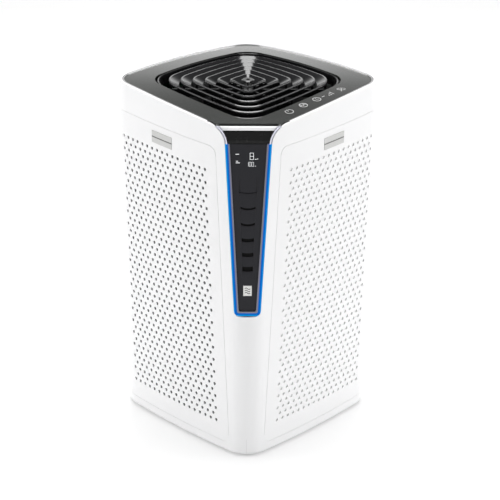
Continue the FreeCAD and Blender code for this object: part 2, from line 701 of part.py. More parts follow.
def make_grille():
    """Outlet grille: nested square blades that slope to the middle, on eight ribs in a collar."""
    roof = size("foot_gap + body_height")
    run, drop, thick = size("blade_run"), size("blade_drop"), size("blade_thick")
    pieces = []
    for index in range(int(size("rings"))):
        half = size("ring_first") + index * size("ring_pitch")
        inner = half - run
        rings = []
        for wide, depth in ((half, 2.2), (half, 2.2 + thick), (inner, 2.2 + thick + drop), (inner, 2.2 + drop)):
            rings.append(crowned(wide, 0.33 * wide, roof - depth))
        pieces.append(Part.makeLoft(rings + [rings[0]], True, True))
        pieces += blade_struts(half)
    collar_outer = Part.Face(outline(size("outlet_half") - 0.4, 900, size("outlet_round") - 0.4, 577))
    collar_inner = Part.Face(outline(size("outlet_half") - 2.4, 900, size("outlet_round") - 2.4, 570))
    collar = collar_outer.extrude(Vector(0, 0, 60)).cut(collar_inner.extrude(Vector(0, 0, 80)))
    collar = collar.common(under_roof(3))
    pieces.append(collar)
    ribs = None
    for index in range(4):
        rib = Part.makeBox(400, 2, 14, Vector(-200, -1, 577))
        rib.rotate(Vector(), Vector(0, 0, 1), 45 * index)
        ribs = rib if ribs is None else ribs.fuse(rib)
    ribs = ribs.common(collar_outer.extrude(Vector(0, 0, 60))).cut(Part.makeCylinder(8, 40, Vector(0, 0, 570)))
    boss = Part.makeCylinder(11, 12, Vector(0, 0, 577))
    boss = boss.fuse(Part.makeCylinder(3, 30, Vector(0, 0, 577)))
    pieces += [ribs, boss]
    grille = pieces[0].fuse(pieces[1:])
    keep_shape(biggest(grille), "outlet_grille")
    cap = lathe([(3.3, roof - 4), (9, roof - 4), (10.5, roof - 2.6), (9, roof - 1.6), (3.3, roof - 1.6)])
    keep_shape(cap, "grille_cap")


def blade_struts(half):
    """Short struts from a blade down to the eight ribs."""
    struts = []
    crown = size("bow_radius")
    for index in range(8):
        reach = (half - size("blade_run") / 2) * (1.277 if index % 2 else 1.0)
        place = Rotation(Vector(0, 0, 1), 45.0 * index).multVec(Vector(reach, 0, 0))
        top = size("foot_gap + body_height") - 8 - place.dot(DIAGONAL) ** 2 / (2 * crown)
        strut = Part.makeBox(4, 2, top - 579, Vector(reach - 2, -1, 579))
        strut.rotate(Vector(), Vector(0, 0, 1), 45.0 * index)
        struts.append(strut)
    return struts


# ---- display strip -----------------------------------------------------------------------------

def make_strip():
    """Tapered display strip: carrier, lit line, bevel, dark fascia with window and sensor vents."""
    band = size("light_band")
    bevel = band + 0.2 + size("bezel_band")
    carrier = strip_prism(0.5, -8, -5.2, "flat")
    keep_shape(carrier, "strip_carrier")
    light = strip_prism(0.4, -5, 0, "flat").cut(strip_prism(band, -6, 1, "flat"))
    keep_shape(light, "light_guide")
    bezel = strip_prism(band + 0.2, -5, 0.2, "flat").cut(strip_prism(bevel, -6, 1, "flat"))
    keep_shape(bezel, "strip_bezel")
    fascia = strip_prism(bevel + 0.2, -5, -1.6, "flat")
    vent_hole = strip_block((-11, 76, -6), (11, 246, 1))
    window_hole = strip_block((-23, 258, -6), (23, 298, 1))
    tile_hole = strip_block((-7.2, 35.8, -3), (7.2, 55.2, 1))
    keep_shape(fascia.cut(vent_hole).cut(window_hole).cut(tile_hole), "strip_fascia")
    keep_shape(strip_block((-22.7, 258.3, -5), (22.7, 297.7, -1.6)), "display_window")
    keep_shape(strip_block((-7, 36, -3), (7, 55, -1.3)), "emblem_tile")
    keep_shape(make_vents(), "sensor_vents")
    rail = strip_prism(0.4, -14, 4).cut(strip_prism(4.0, -15, 5))
    above = slab(size("strip_shoulder") + 0.4, 700)
    rail = rail.common(above).common(tower(1.2)).common(under_roof(0.8))
    sides = [solid for solid in rail.Solids if solid.Volume > 20]
    keep_shape(Part.makeCompound(sides), "shoulder_trim")
    cove = Part.Face(Part.makePolygon(cove_section())).extrude(ACROSS * 120)
    cove = cove.common(strip_prism(4.2, -60, 60))
    keep_shape(biggest(cove), "head_cove")


def make_vents():
    """Column of six shingle-like steps with a slot below each, over the air sensor."""
    steps = []
    count = int(size("vent_steps"))
    pitch = size("vent_pitch")
    for index in range(count):
        low = size("vent_low") + index * pitch
        half = 8.6 + 0.35 * index
        profile = [Vector(-half, low + 6, -4), Vector(-half, low + pitch - 1, -4),
                   Vector(-half, low + pitch - 1, -2.2), Vector(-half, low + 6, -0.4),
                   Vector(-half, low + 6, -4)]
        steps.append(Part.Face(Part.makePolygon(profile)).extrude(Vector(2 * half, 0, 0)))
    back = Part.makeBox(21.4, 169.4, 1.2, Vector(-10.7, 76.3, -5))
    sides = [Part.makeBox(1.8, 169.4, 2.6, Vector(x, 76.3, -4.2)) for x in (-10.7, 8.9)]
    vents = back.fuse(steps + sides)
    for index in range(count):
        slot = Part.makeBox(14, 3, 4, Vector(-7, size("vent_low") + 2 + index * pitch, -6))
        vents = vents.cut(slot)
    vents.Placement = strip_frame().multiply(vents.Placement)
    return vents


def cove_section():
    """Section of the glossy cove between the fascia and the corner bar."""
    u, top = size("bar_u"), size("foot_gap + body_height")
    shoulder = size("strip_shoulder")
    edge = size("strip_u_high")
    head = top - size("bar_height") - 0.4
    points = [(edge - 1.8, shoulder + 0.4), (edge - 6.2, shoulder + 4), (u + 5.6, head - 2.6),
              (u + 5.2, head), (u - 2, head), (u - 2, shoulder + 0.4), (edge - 1.8, shoulder + 0.4)]
    return [-ACROSS * 60 + DIAGONAL * a + Vector(0, 0, b) for a, b in points]


# ---- electrics ---------------------------------------------------------------------------------

def make_boards():
    """Display board, air sensor, touch board, main board with its tray, and the mains socket."""
    keep_shape(strip_block((-24, 200, -13), (24, 299, -11.4)), "display_board")
    sensor = strip_block((-19, 96, -34), (19, 142, -12))
    throat = strip_block((-6, 104, -15), (6, 112, -11))
    keep_shape(sensor.cut(throat), "particle_sensor")
    keep(box("touch_pcb", ("128", "-56", "588"), ("150", "106", "589.6")), "touch_board")
    tray = cut("tray_cut", box("tray_block", ("-154", "-66", "542"), ("-144", "66", "588")),
               box("tray_hollow", ("-151.5", "-64", "544.5"), ("-140", "64", "590")))
    keep(tray, "board_tray")
    parts = [box("main_pcb", ("-150", "-62", "545"), ("-148.4", "62", "586"))]
    for index, (y, wide, high, out) in enumerate(((-50, 16, 22, 14), (-24, 20, 16, 12), (4, 30, 18, 9),
                                                  (44, 12, 26, 13))):
        parts.append(box(f"component_{index}", ("-148.5", str(y), "550"),
                         (f"-148.5 + {out}", f"{y} + {wide}", f"550 + {high}")))
    keep(fuse("main_board_parts", parts), "main_board")
    keep_shape(make_socket(), "mains_socket")


def make_socket():
    """Two-pin appliance inlet, set in the rear wall from outside."""
    y, z, wide, high = size("socket_y"), size("socket_z"), size("socket_wide"), size("socket_high")
    rim, radius = size("socket_flange"), size("pin_radius")
    face, back, well = -175, -141.4, 4
    flange = Part.makeBox(20, wide + 2 * rim, high + 2 * rim, Vector(face, y - wide / 2 - rim, z - high / 2 - rim))
    flange = flange.common(tower(-1.2)).cut(tower(0))
    case = Part.makeBox(22, wide, high, Vector(back - 22, y - wide / 2, z - high / 2))
    hollow = Part.makeBox(22, wide - 2 * well, high - 2 * well,
                          Vector(back - 25.8, y - wide / 2 + well, z - high / 2 + well))
    pins = [Part.makeCylinder(radius, 18, Vector(back - 19.6, y + side * size("pin_apart") / 2, z),
                              Vector(1, 0, 0)) for side in (-1, 1)]
    return flange.fuse(case).cut(hollow).fuse(pins)


# ---- build, check and write ----------------------------------------------------------------------

def make_sides():
    make_left_cover()
    make_left_filters()
    make_guides()
    magnets, strikes = make_magnets()
    keep_shape(Part.makeCompound(magnets), "left_magnets")
    keep_shape(Part.makeCompound(strikes), "left_strikes")
    for name in ("cover", "plate", "prefilter", "prefilter_net", "filter_case", "filter_seal",
                 "filter_pleats", "pull_tab", "magnets", "strikes", "guides"):
        mirrored(subparts[f"left_{name}"], f"right_{name}")


def check_document():
    """Stops on any failed object or bad shape."""
    for item in doc.Objects:
        if "Invalid" in item.State or "Error" in item.State:
            raise RuntimeError(f"{item.Name} failed: {item.State}")
    for label, item in subparts.items():
        if item.Shape.isNull() or not item.Shape.isValid() or not item.Shape.Solids:
            raise RuntimeError(f"{label} has a bad shape")


def write_parts():
    os.makedirs("parts", exist_ok=True)
    for old in os.listdir("parts"):
        os.remove(os.path.join("parts", old))
    for label, item in subparts.items():
        item.Shape.exportStep(os.path.join("parts", f"{label}.step"))
        bounds = item.Shape.BoundBox
        print(f"{label:22s} solids {len(item.Shape.Solids):3d} volume {item.Shape.Volume / 1000:9.2f} cm3 "
              f"x {bounds.XMin:7.1f} {bounds.XMax:7.1f} y {bounds.YMin:7.1f} {bounds.YMax:7.1f} "
              f"z {bounds.ZMin:6.1f} {bounds.ZMax:6.1f}")


for make in (make_main_shell, make_grips, make_base, make_sides, make_chassis, make_upper_deck,
             make_duct, make_inlet_ring, make_impeller, make_motor, make_roof, make_grille,
             make_strip, make_boards):
    make()
doc.recompute()
check_document()
write_parts()
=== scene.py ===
import math

import bmesh
import bpy
from mathutils import Matrix, Vector


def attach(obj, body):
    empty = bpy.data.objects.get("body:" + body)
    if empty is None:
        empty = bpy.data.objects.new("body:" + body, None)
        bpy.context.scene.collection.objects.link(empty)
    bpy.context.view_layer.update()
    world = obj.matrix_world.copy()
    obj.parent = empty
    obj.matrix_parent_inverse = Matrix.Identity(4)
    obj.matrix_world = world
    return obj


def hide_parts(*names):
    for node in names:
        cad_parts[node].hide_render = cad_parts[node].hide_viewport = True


# A tower air purifier: two pull-off perforated covers over their filters, a fan below a louvred
# outlet, and a lit display strip down the corner between the two covers. Lengths are in metres.

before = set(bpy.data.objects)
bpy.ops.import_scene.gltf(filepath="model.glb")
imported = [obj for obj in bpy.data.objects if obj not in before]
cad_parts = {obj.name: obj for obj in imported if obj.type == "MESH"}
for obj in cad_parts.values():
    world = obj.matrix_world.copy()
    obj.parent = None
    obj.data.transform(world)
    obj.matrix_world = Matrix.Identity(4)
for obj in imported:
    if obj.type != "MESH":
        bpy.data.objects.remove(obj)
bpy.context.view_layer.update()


# ---- base --------------------------------------------------------------------------------------
# The base tray is glass-filled nylon, snapped into the skirt of the housing. Four rubber feet are
# pressed into it, and four zinc-plated screws hold it to the posts of the chassis.

class Shade:
    """An output in a node tree. Arithmetic on it adds Math nodes."""

    def __init__(self, tree, output):
        self.tree = tree
        self.output = output

    def node(self, kind, settings=None, inputs=None, take=0):
        """Any other node: its settings first, then the values or links of its sockets."""
        made = self.tree.nodes.new(kind)
        for name, value in (settings or {}).items():
            if name == "stops":
                ramp = made.color_ramp.elements
                while len(ramp) < len(value):
                    ramp.new(0.5)
                for stop, (position, grey) in zip(ramp, value):
                    stop.position = position
                    stop.color = (grey, grey, grey, 1)
            else:
                setattr(made, name, value)
        for name, value in (inputs or {}).items():
            if isinstance(value, Shade):
                self.tree.links.new(value.output, made.inputs[name])
            else:
                made.inputs[name].default_value = value
        return Shade(self.tree, made.outputs[take])

    def maths(self, operation, *others):
        return self.node("ShaderNodeMath", {"operation": operation}, dict(enumerate((self, *others))))

    def swapped(self, operation, first):
        return self.node("ShaderNodeMath", {"operation": operation}, {0: first, 1: self})

    def __add__(self, other):
        return self.maths("ADD", other)

    def __radd__(self, other):
        return self.swapped("ADD", other)

    def __sub__(self, other):
        return self.maths("SUBTRACT", other)

    def __rsub__(self, other):
        return self.swapped("SUBTRACT", other)

    def __mul__(self, other):
        return self.maths("MULTIPLY", other)

    def __rmul__(self, other):
        return self.swapped("MULTIPLY", other)

    def __truediv__(self, other):
        return self.maths("DIVIDE", other)

    def __gt__(self, other):
        return self.maths("GREATER_THAN", other)

    def __lt__(self, other):
        return self.maths("LESS_THAN", other)

    def parts(self):
        """The three numbers of a vector."""
        return [self.node("ShaderNodeSeparateXYZ", inputs={0: self}, take=axis) for axis in range(3)]

    def noise(self, scale, detail=2.0):
        return self.node("ShaderNodeTexNoise", inputs={"Vector": self, "Scale": scale, "Detail": detail})

    def stretched(self, scale):
        """The same place with each axis scaled, which draws a pattern out into streaks."""
        return self.node("ShaderNodeMapping", inputs={"Vector": self, "Scale": scale})

    def tint(self, low, high):
        """A colour between two, by this value."""
        return self.node("ShaderNodeMix", {"data_type": "RGBA"}, {0: self, 6: (*low, 1), 7: (*high, 1)}, 2)


class Finish:
    """A material: the place of each point on a piece, and the sockets that its patterns feed."""

    def __init__(self, name, colour, roughness, fixed=None):
        self.material = bpy.data.materials.new(name)
        self.material.use_nodes = True
        tree = self.material.node_tree
        self.shader = tree.nodes["Principled BSDF"]
        self.place = Shade(tree, tree.nodes.new("ShaderNodeTexCoord").outputs["Object"])
        settings = {"Base Color": (*colour, 1), "Roughness": roughness}
        settings.update(fixed or {})
        for socket, value in settings.items():
            self.shader.inputs[socket].default_value = value

    def feed(self, socket, shade):
        shade.tree.links.new(shade.output, self.shader.inputs[socket])

    def relief(self, height, depth):
        """Fine relief from a height between 0 and 1."""
        self.feed("Normal", height.node("ShaderNodeBump", inputs={
            "Height": height, "Distance": depth, "Strength": 1.0}))


def moulded(name, colour, roughness, grain=1800, depth=0.00003, drift=0.03, fixed=None):
    """A moulded plastic: fine eroded grain, and slow drifts of shade and gloss across the piece."""
    made = Finish(name, colour, roughness, fixed)
    slow = made.place.noise(9, 3)
    fine = made.place.noise(grain, 2)
    darker = [value * (1 - drift) for value in colour]
    lighter = [min(value * (1 + drift), 1) for value in colour]
    made.feed("Base Color", slow.tint(darker, lighter))
    made.feed("Roughness", roughness - 0.05 + slow * 0.06 + fine * 0.05)
    made.relief(fine, depth)
    return made


def hazed(name, pattern, low, high, gloss, depth, fixed=None):
    """A finish whose colour, gloss and relief all follow one noise: its scale and its detail."""
    made = Finish(name, high, gloss[0], fixed)
    haze = made.place.noise(*pattern)
    made.feed("Base Color", haze.tint(low, high))
    made.feed("Roughness", gloss[0] + haze * gloss[1])
    made.relief(haze, depth)
    return made


def dress(finish, *nodes):
    """Gives carried-over nodes their finish."""
    for node in nodes:
        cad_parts[node].material_slots[0].material = finish.material


structural_grey = moulded("structural_grey", (0.23, 0.235, 0.24), 0.55, 1100, 0.00005, 0.05)
foot_rubber = moulded("foot_rubber", (0.022, 0.022, 0.023), 0.8, 700, 0.00006, 0.12)
zinc = Finish("zinc_plate", (0.55, 0.56, 0.55), 0.32, {"Metallic": 1.0})
spangle = zinc.place.noise(260, 4)
zinc.feed("Base Color", spangle.tint((0.46, 0.47, 0.46), (0.68, 0.69, 0.66)))
zinc.feed("Roughness", 0.24 + spangle * 0.2)
zinc.relief(zinc.place.noise(1500), 0.00003)
dress(structural_grey, "base_tray")
dress(foot_rubber, "rubber_feet")
dress(zinc, "base_screws")


# ---- chassis and decks ---------------------------------------------------------------------------
# One grey box moulding stands on the tray, with moulded guides beside it that hold the filters. A
# second plate closes the filter bay above. They are glass-filled nylon, a shade lighter than the
# tray and the fan's own deck inside the box.

chassis_grey = moulded("chassis_grey", (0.33, 0.335, 0.34), 0.5, 900, 0.00006, 0.05)
dress(chassis_grey, "inner_chassis", "upper_deck", "left_guides", "right_guides")
dress(structural_grey, "fan_deck")


# ---- fan -----------------------------------------------------------------------------------------
# A pale mixed-flow wheel runs on an external motor hung from a steel cross in a round black duct.
# The wheel is moulded in one with its blades; the motor's can is drawn steel, its shaft is ground.

duct_black = moulded("duct_black", (0.018, 0.018, 0.019), 0.42, 1300, 0.00004, 0.1)
wheel_grey = moulded("wheel_grey", (0.58, 0.59, 0.6), 0.38, 1600, 0.00003, 0.03)
drawn_steel = Finish("drawn_steel", (0.5, 0.5, 0.5), 0.3, {"Metallic": 1.0})
draw_lines = drawn_steel.place.stretched((1, 1, 40)).noise(90, 3)
drawn_steel.feed("Roughness", 0.22 + draw_lines * 0.2)
drawn_steel.feed("Base Color", draw_lines.tint((0.4, 0.4, 0.41), (0.6, 0.6, 0.59)))
drawn_steel.relief(draw_lines, 0.00004)
dress(duct_black, "air_duct", "inlet_ring", "outlet_funnel")
dress(wheel_grey, "impeller")
dress(drawn_steel, "motor_case", "motor_shaft", "motor_bearings", "motor_bracket")
dress(zinc, "motor_screws")


# ---- white housing -------------------------------------------------------------------------------
# The housing is one white ABS moulding with a fine satin grain: band, display column, skirt and
# rear walls. A short parting line of the mould runs up the foot of the display corner.

PARTING_TOP = 0.033
PARTING_WIDTH = 0.0006
FRONT_CORNER = 0.2


def white_abs(name):
    """The white plastic of the housing and the covers."""
    return moulded(name, (0.83, 0.83, 0.835), 0.4, 1900, 0.00002, 0.008,
                   {"Coat Weight": 0.12, "Coat Roughness": 0.25})


housing_white = white_abs("housing_white")
along_x, along_y, height = housing_white.place.parts()
across_corner = (along_x + along_y).maths("ABSOLUTE")
on_corner = (height < PARTING_TOP) * (along_x - along_y > FRONT_CORNER)
parting = (across_corner < PARTING_WIDTH * math.sqrt(2)) * on_corner
drift = housing_white.place.noise(9, 3) * 0.03 + parting * 0.25
housing_white.feed("Base Color", drift.tint((0.84, 0.84, 0.845), (0.5, 0.5, 0.51)))
dress(housing_white, "main_shell")
grip_grey = moulded("grip_grey", (0.6, 0.605, 0.61), 0.5, 1200, 0.00004, 0.02)
dress(grip_grey, "rear_grip_left", "rear_grip_right")


# ---- filters -------------------------------------------------------------------------------------
# Each main filter is folded glass paper in a pale frame, sealed to the chassis by a ring of closed
# foam. Threads of hot glue hold its pleats apart, and a woven tab pulls it out.

GLUE_PITCH = 0.028
GLUE_WIDTH = 0.0022
THREADS = 2600

paper = Finish("pleat_paper", (0.8, 0.8, 0.76), 0.85)
level = paper.place.parts()[2]
glue = (level / GLUE_PITCH).maths("FRACT") < GLUE_WIDTH / GLUE_PITCH
fibres = paper.place.noise(2200, 4)
paper.feed("Base Color", (glue * 0.5 + fibres * 0.5).tint((0.86, 0.86, 0.83), (0.62, 0.6, 0.5)))
paper.feed("Roughness", 0.95 - glue * 0.5)
paper.relief(fibres + glue * 2, 0.00008)
frame_grey = moulded("frame_grey", (0.66, 0.67, 0.68), 0.5, 1200, 0.00004, 0.02)
foam = moulded("closed_foam", (0.05, 0.05, 0.052), 0.92, 420, 0.00035, 0.25)
tab_weave = Finish("tab_weave", (0.03, 0.03, 0.03), 0.8)
x, y, z = tab_weave.place.parts()
weft = (z * THREADS).maths("SINE")
warp = ((x + y) * THREADS).maths("SINE")
weave = weft * warp * 0.5 + 0.5
tab_weave.feed("Base Color", weave.tint((0.015, 0.015, 0.016), (0.06, 0.06, 0.065)))
tab_weave.relief(weave, 0.0002)
for side in ("left", "right"):
    dress(paper, f"{side}_filter_pleats")
    dress(frame_grey, f"{side}_filter_case")
    dress(foam, f"{side}_filter_seal")
    dress(tab_weave, f"{side}_pull_tab")


# ---- pre-filters ---------------------------------------------------------------------------------
# The washable pre-filter is a moulded lattice with a fine nylon net welded to its back. The one
# behind the left cover is coloured dark, painted shade in the left cover's holes, and the one behind
# the right cover is coloured pale, painted light in the right cover's holes.

NET_PITCH = 0.0028


def net(name, hole, thread):
    """A woven net of square meshes."""
    made = Finish(name, thread, 0.7)
    x, y, z = made.place.parts()
    run = ((x + y) * (math.pi / NET_PITCH)).maths("SINE").maths("ABSOLUTE")
    rise = (z * (math.pi / NET_PITCH)).maths("SINE").maths("ABSOLUTE")
    gap = run.maths("MINIMUM", rise)
    shown = gap.node("ShaderNodeValToRGB", {"stops": [(0.25, 1.0), (0.5, 0.0)]}, {0: gap})
    made.feed("Base Color", shown.tint(hole, thread))
    made.relief(shown, 0.0003)
    return made


# Painted shade and painted light: the left lattice and net (threads and holes) are coloured near black for
# the shade in the left cover's holes, and the right ones pale for light falling into the right cover's
# holes.
dress(moulded("lattice_painted_shade", (0.05, 0.052, 0.055), 0.5, 1200, 0.00004, 0.02), "left_prefilter")
dress(moulded("lattice_painted_light", (0.6, 0.6, 0.61), 0.5, 1200, 0.00004, 0.02), "right_prefilter")
dress(net("dark_net_painted_shade", (0.012, 0.012, 0.013), (0.05, 0.052, 0.055)), "left_prefilter_net")
dress(net("pale_net_painted_light", (0.42, 0.43, 0.43), (0.72, 0.73, 0.73)), "right_prefilter_net")


# ---- side covers ---------------------------------------------------------------------------------
# Each cover is a thin white skin, bowed like the housing and wrapped round its far corner, with
# 41 staggered rows of oval holes. Magnets hold it, so it carries no screws or catches. Behind the
# right cover's holes lies a thin pale sheet: painted light, which shows pale through the holes.

SKIN = 0.0018
LIT_SHEET_DEPTH, LIT_SHEET_THICKNESS = 0.0021, 0.0005
BOW = 1.437
CORNER = 0.043
HALF_BASE, HALF_TOP = 0.163, 0.170
BASE_Z, TOP_Z = 0.005, 0.620
COVER_LOW, COVER_HIGH = 0.01945, 0.56055
SEAM_LOW, SEAM_HIGH = 0.11655, 0.09105
COVER_END = 0.11845
COVER_ROUND = 0.01355
COLUMNS, ROWS = 17, 41
PITCH, ROW_PITCH = 0.0125, 0.01152
FIRST_ROW, LEFT_COLUMN = 0.5158, -0.1321
SPREAD, LEAN = 0.0005, 0.000396
HOLE, HOLE_TALL = 0.0026, 0.0029
HOLE_SIDES = 12
RINGS = 10
WELD = 0.0001
MIRROR = Matrix(((0, -1, 0, 0), (-1, 0, 0, 0), (0, 0, 1, 0), (0, 0, 0, 1)))

white = white_abs("satin_white")


def hole_place(column, row):
    """Where a point of the hole pattern lies on the flat cover: along it, and up it."""
    along = LEFT_COLUMN + (COLUMNS - 1 - column) * PITCH * (1 + row * SPREAD) + row * LEAN
    return along, FIRST_ROW - row * ROW_PITCH


def pattern_cell():
    """One cell of the pattern: a unit square with an oval hole, its top and bottom edges split in quarters
    and its sides in halves.
    """
    cell = bmesh.new()
    rim = [(0.5, 0), (0.5, 0.5), (0.25, 0.5), (0, 0.5), (-0.25, 0.5), (-0.5, 0.5), (-0.5, 0),
           (-0.5, -0.5), (-0.25, -0.5), (0, -0.5), (0.25, -0.5), (0.5, -0.5)]
    outer = [cell.verts.new((x, y, 0)) for x, y in rim]
    inner = []
    for step in range(HOLE_SIDES):
        angle = 2 * math.pi * step / HOLE_SIDES
        inner.append(cell.verts.new((HOLE / PITCH * math.cos(angle),
                                     HOLE_TALL / ROW_PITCH * math.sin(angle), 0)))
    for step in range(HOLE_SIDES):
        after = (step + 1) % HOLE_SIDES
        cell.faces.new((outer[step], outer[after], inner[after], inner[step]))
    mesh = bpy.data.meshes.new("pattern_cell")
    cell.to_mesh(mesh)
    return mesh


def new_tree(name, sizes):
    """A Geometry Nodes tree with named inputs: its name, and each input's kind and value."""
    tree = bpy.data.node_groups.new(name, "GeometryNodeTree")
    tree.interface.new_socket("Geometry", in_out="INPUT", socket_type="NodeSocketGeometry")
    for label, (kind, value) in sizes.items():
        socket = tree.interface.new_socket(label, in_out="INPUT", socket_type=f"NodeSocket{kind}")
        socket.default_value = value
    tree.interface.new_socket("Geometry", in_out="OUTPUT", socket_type="NodeSocketGeometry")
    entry = tree.nodes.new("NodeGroupInput")
    return tree, {socket.name: Shade(tree, socket) for socket in entry.outputs if socket.name}


def end_tree(tree, geometry, finish):
    """Closes a tree: instances made real, and the finish set."""
    real = geometry.node("GeometryNodeRealizeInstances", inputs={0: geometry})
    dressed = real.node("GeometryNodeSetMaterial", inputs={"Geometry": real, "Material": finish.material})
    tree.links.new(dressed.output, tree.nodes.new("NodeGroupOutput").inputs[0])


def settled(name, mesh, tree=None, sizes=None, modifiers=()):
    """An object whose tree and modifiers have been worked into a plain mesh."""
    piece = bpy.data.objects.new(name, mesh)
    bpy.context.scene.collection.objects.link(piece)
    if tree:
        maker = piece.modifiers.new("maker", "NODES")
        maker.node_group = tree
        for item in tree.interface.items_tree:
            if item.in_out == "INPUT" and item.name in (sizes or {}):
                maker[item.identifier] = sizes[item.name]
    for kind, values in modifiers:
        modifier = piece.modifiers.new(kind.lower(), kind)
        for prop, value in values.items():
            setattr(modifier, prop, value)
    evaluated = piece.evaluated_get(bpy.context.evaluated_depsgraph_get())
    made = bpy.data.meshes.new_from_object(evaluated)
    piece.modifiers.clear()
    piece.data = made
    return piece


def perforation_tree():
    """Sets the cell at each hole of the staggered rows, then draws the rows out to their places."""
    tree, given = new_tree("perforation", {
        "Columns": ("Int", COLUMNS), "Rows": ("Int", ROWS), "Row offset": ("Float", 0.5)})
    start = given["Geometry"]
    grid = start.node("GeometryNodeMeshGrid", inputs={
        "Vertices X": given["Columns"], "Vertices Y": given["Rows"],
        "Size X": given["Columns"] - 1, "Size Y": given["Rows"] - 1})
    grid = start.node("GeometryNodeTransform", inputs={
        "Geometry": grid, "Translation": ((COLUMNS - 1) / 2, (ROWS - 1) / 2, 0)})
    column, row, _ = start.node("GeometryNodeInputPosition").parts()
    odd = (row + 0.5).maths("FLOOR").maths("MODULO", 2)
    spare = odd * (column > COLUMNS - 1.5)
    grid = start.node("GeometryNodeDeleteGeometry", {"domain": "POINT"}, {
        "Geometry": grid, "Selection": spare})
    shift = start.node("ShaderNodeCombineXYZ", inputs={0: odd * given["Row offset"]})
    grid = start.node("GeometryNodeSetPosition", inputs={"Geometry": grid, "Offset": shift})
    cells = start.node("GeometryNodeInstanceOnPoints", inputs={"Points": grid, "Instance": start})
    cells = start.node("GeometryNodeRealizeInstances", inputs={0: cells})
    column, row, _ = start.node("GeometryNodeInputPosition").parts()
    along, up = hole_place(column, row)
    flat = start.node("ShaderNodeCombineXYZ", inputs={0: along, 1: up})
    sheet = start.node("GeometryNodeSetPosition", inputs={"Geometry": cells, "Position": flat})
    merged = start.node("GeometryNodeMergeByDistance", inputs={"Geometry": sheet, "Distance": WELD})
    end_tree(tree, merged, white)
    return tree


def body_plan(z):
    """The body's outline at a height: how far its bows are set back, where a corner's middle lies,
    and the angle at which a bow meets the corner."""
    shift = BOW - HALF_BASE - (HALF_TOP - HALF_BASE) * (z - BASE_Z) / (TOP_Z - BASE_Z)
    middle = (math.sqrt(2 * (BOW - CORNER) ** 2 - shift ** 2) - shift) / 2
    return shift, middle, math.atan2(middle, middle + shift)


def round_body(along, z):
    """A point on the outside of the body, measured along its -Y side and round the far corner."""
    shift, middle, lean = body_plan(z)
    past_side = -along - BOW * lean
    if past_side <= 0:
        angle = along / BOW
        return Vector((BOW * math.sin(angle), shift - BOW * math.cos(angle), z))
    turn = math.pi / 2 - 2 * lean
    past_corner = past_side - CORNER * turn
    if past_corner <= 0:
        angle = lean + past_side / CORNER
        return Vector((-middle - CORNER * math.sin(angle), -middle - CORNER * math.cos(angle), z))
    angle = lean - past_corner / BOW
    return Vector((shift - BOW * math.cos(angle), -BOW * math.sin(angle), z))


def cover_end(z):
    """How far along the body the cover reaches, past the far corner."""
    lean = body_plan(z)[2]
    return -2 * BOW * lean - CORNER * (math.pi / 2 - 2 * lean) + BOW * math.asin(COVER_END / BOW)


def eased(share, ends):
    """A share of an edge, with the stretch next to its rounded ends drawn out finer."""
    fine, real = 0.08, COVER_ROUND / 0.28
    first, last = ends
    if first and share < fine:
        return share * real / fine
    if last and share > 1 - fine:
        return 1 - (1 - share) * real / fine
    low, high = (real if first else 0), (1 - real if last else 1)
    near, far = (fine if first else 0), (1 - fine if last else 1)
    return low + (high - low) * (share - near) / (far - near)


def outline_point(side, share):
    """A point of the cover's outline. Sides run: top from display, far end, bottom, display side."""
    if side in (0, 2):
        z = COVER_HIGH if side == 0 else COVER_LOW
        display = SEAM_HIGH if side == 0 else SEAM_LOW
        share = eased(share, (side == 0, side == 2))
        start, stop = (display, cover_end(z)) if side == 0 else (cover_end(z), display)
        along = start + (stop - start) * share
    elif side == 1:
        z = COVER_HIGH + (COVER_LOW - COVER_HIGH) * share
        along = cover_end(z)
    else:
        share = eased(share, (True, True))
        z = COVER_LOW + (COVER_HIGH - COVER_LOW) * share
        along = SEAM_LOW + (SEAM_HIGH - SEAM_LOW) * share
    for seam, level, inward in ((SEAM_HIGH, COVER_HIGH, -1), (SEAM_LOW, COVER_LOW, 1)):
        centre = Vector((seam - COVER_ROUND, level + inward * COVER_ROUND))
        offset = Vector((along, z)) - centre
        if offset.x > 0 and offset.y * inward < 0:
            offset = offset.normalized() * COVER_ROUND
            along, z = centre.x + offset.x, centre.y + offset.y
    return along, z


def cover_surround(sheet):
    """Adds the plain border: rings of faces from the pattern's rim to the outline, and end cells."""
    low, right, bottom = -0.5, COLUMNS - 0.5, ROWS - 0.5
    quarters, halves = 4 * COLUMNS, 2 * ROWS
    rim = [(low + step / 4, low, 0, step / quarters) for step in range(quarters)]
    rim += [(right, low + step / 2, 1, step / halves) for step in range(halves)]
    rim += [(right - step / 4, bottom, 2, step / quarters) for step in range(quarters)]
    rim += [(low, bottom - step / 2, 3, step / halves) for step in range(halves)]
    rings = []
    for ring in range(RINGS + 1):
        verts = []
        for column, row, side, share in rim:
            near, far = Vector(hole_place(column, row)), Vector(outline_point(side, share))
            verts.append(sheet.verts.new((*near.lerp(far, ring / RINGS), 0)))
        rings.append(verts)
    for inner, outer in zip(rings, rings[1:]):
        for step in range(len(rim)):
            after = (step + 1) % len(rim)
            sheet.faces.new((inner[step], inner[after], outer[after], outer[step]))
    for row in range(1, ROWS, 2):
        for start in (low, COLUMNS - 1):
            corners = [(0, -.5), (.25, -.5), (.5, -.5), (.5, 0), (.5, .5), (.25, .5), (0, .5), (0, 0)]
            sheet.faces.new([sheet.verts.new((*hole_place(start + x, row + y), 0)) for x, y in corners])


def soften(mesh, degrees=32):
    """Smooth shading, broken at edges sharper than an angle."""
    shape = bmesh.new()
    shape.from_mesh(mesh)
    for face in shape.faces:
        face.smooth = True
    for edge in shape.edges:
        edge.smooth = edge.is_manifold and edge.calc_face_angle(0) < math.radians(degrees)
    shape.to_mesh(mesh)
    shape.free()


def to_right(made):
    """Turns a piece made for the left side into its mirror image for the right."""
    made.data.transform(MIRROR)
    made.data.flip_normals()


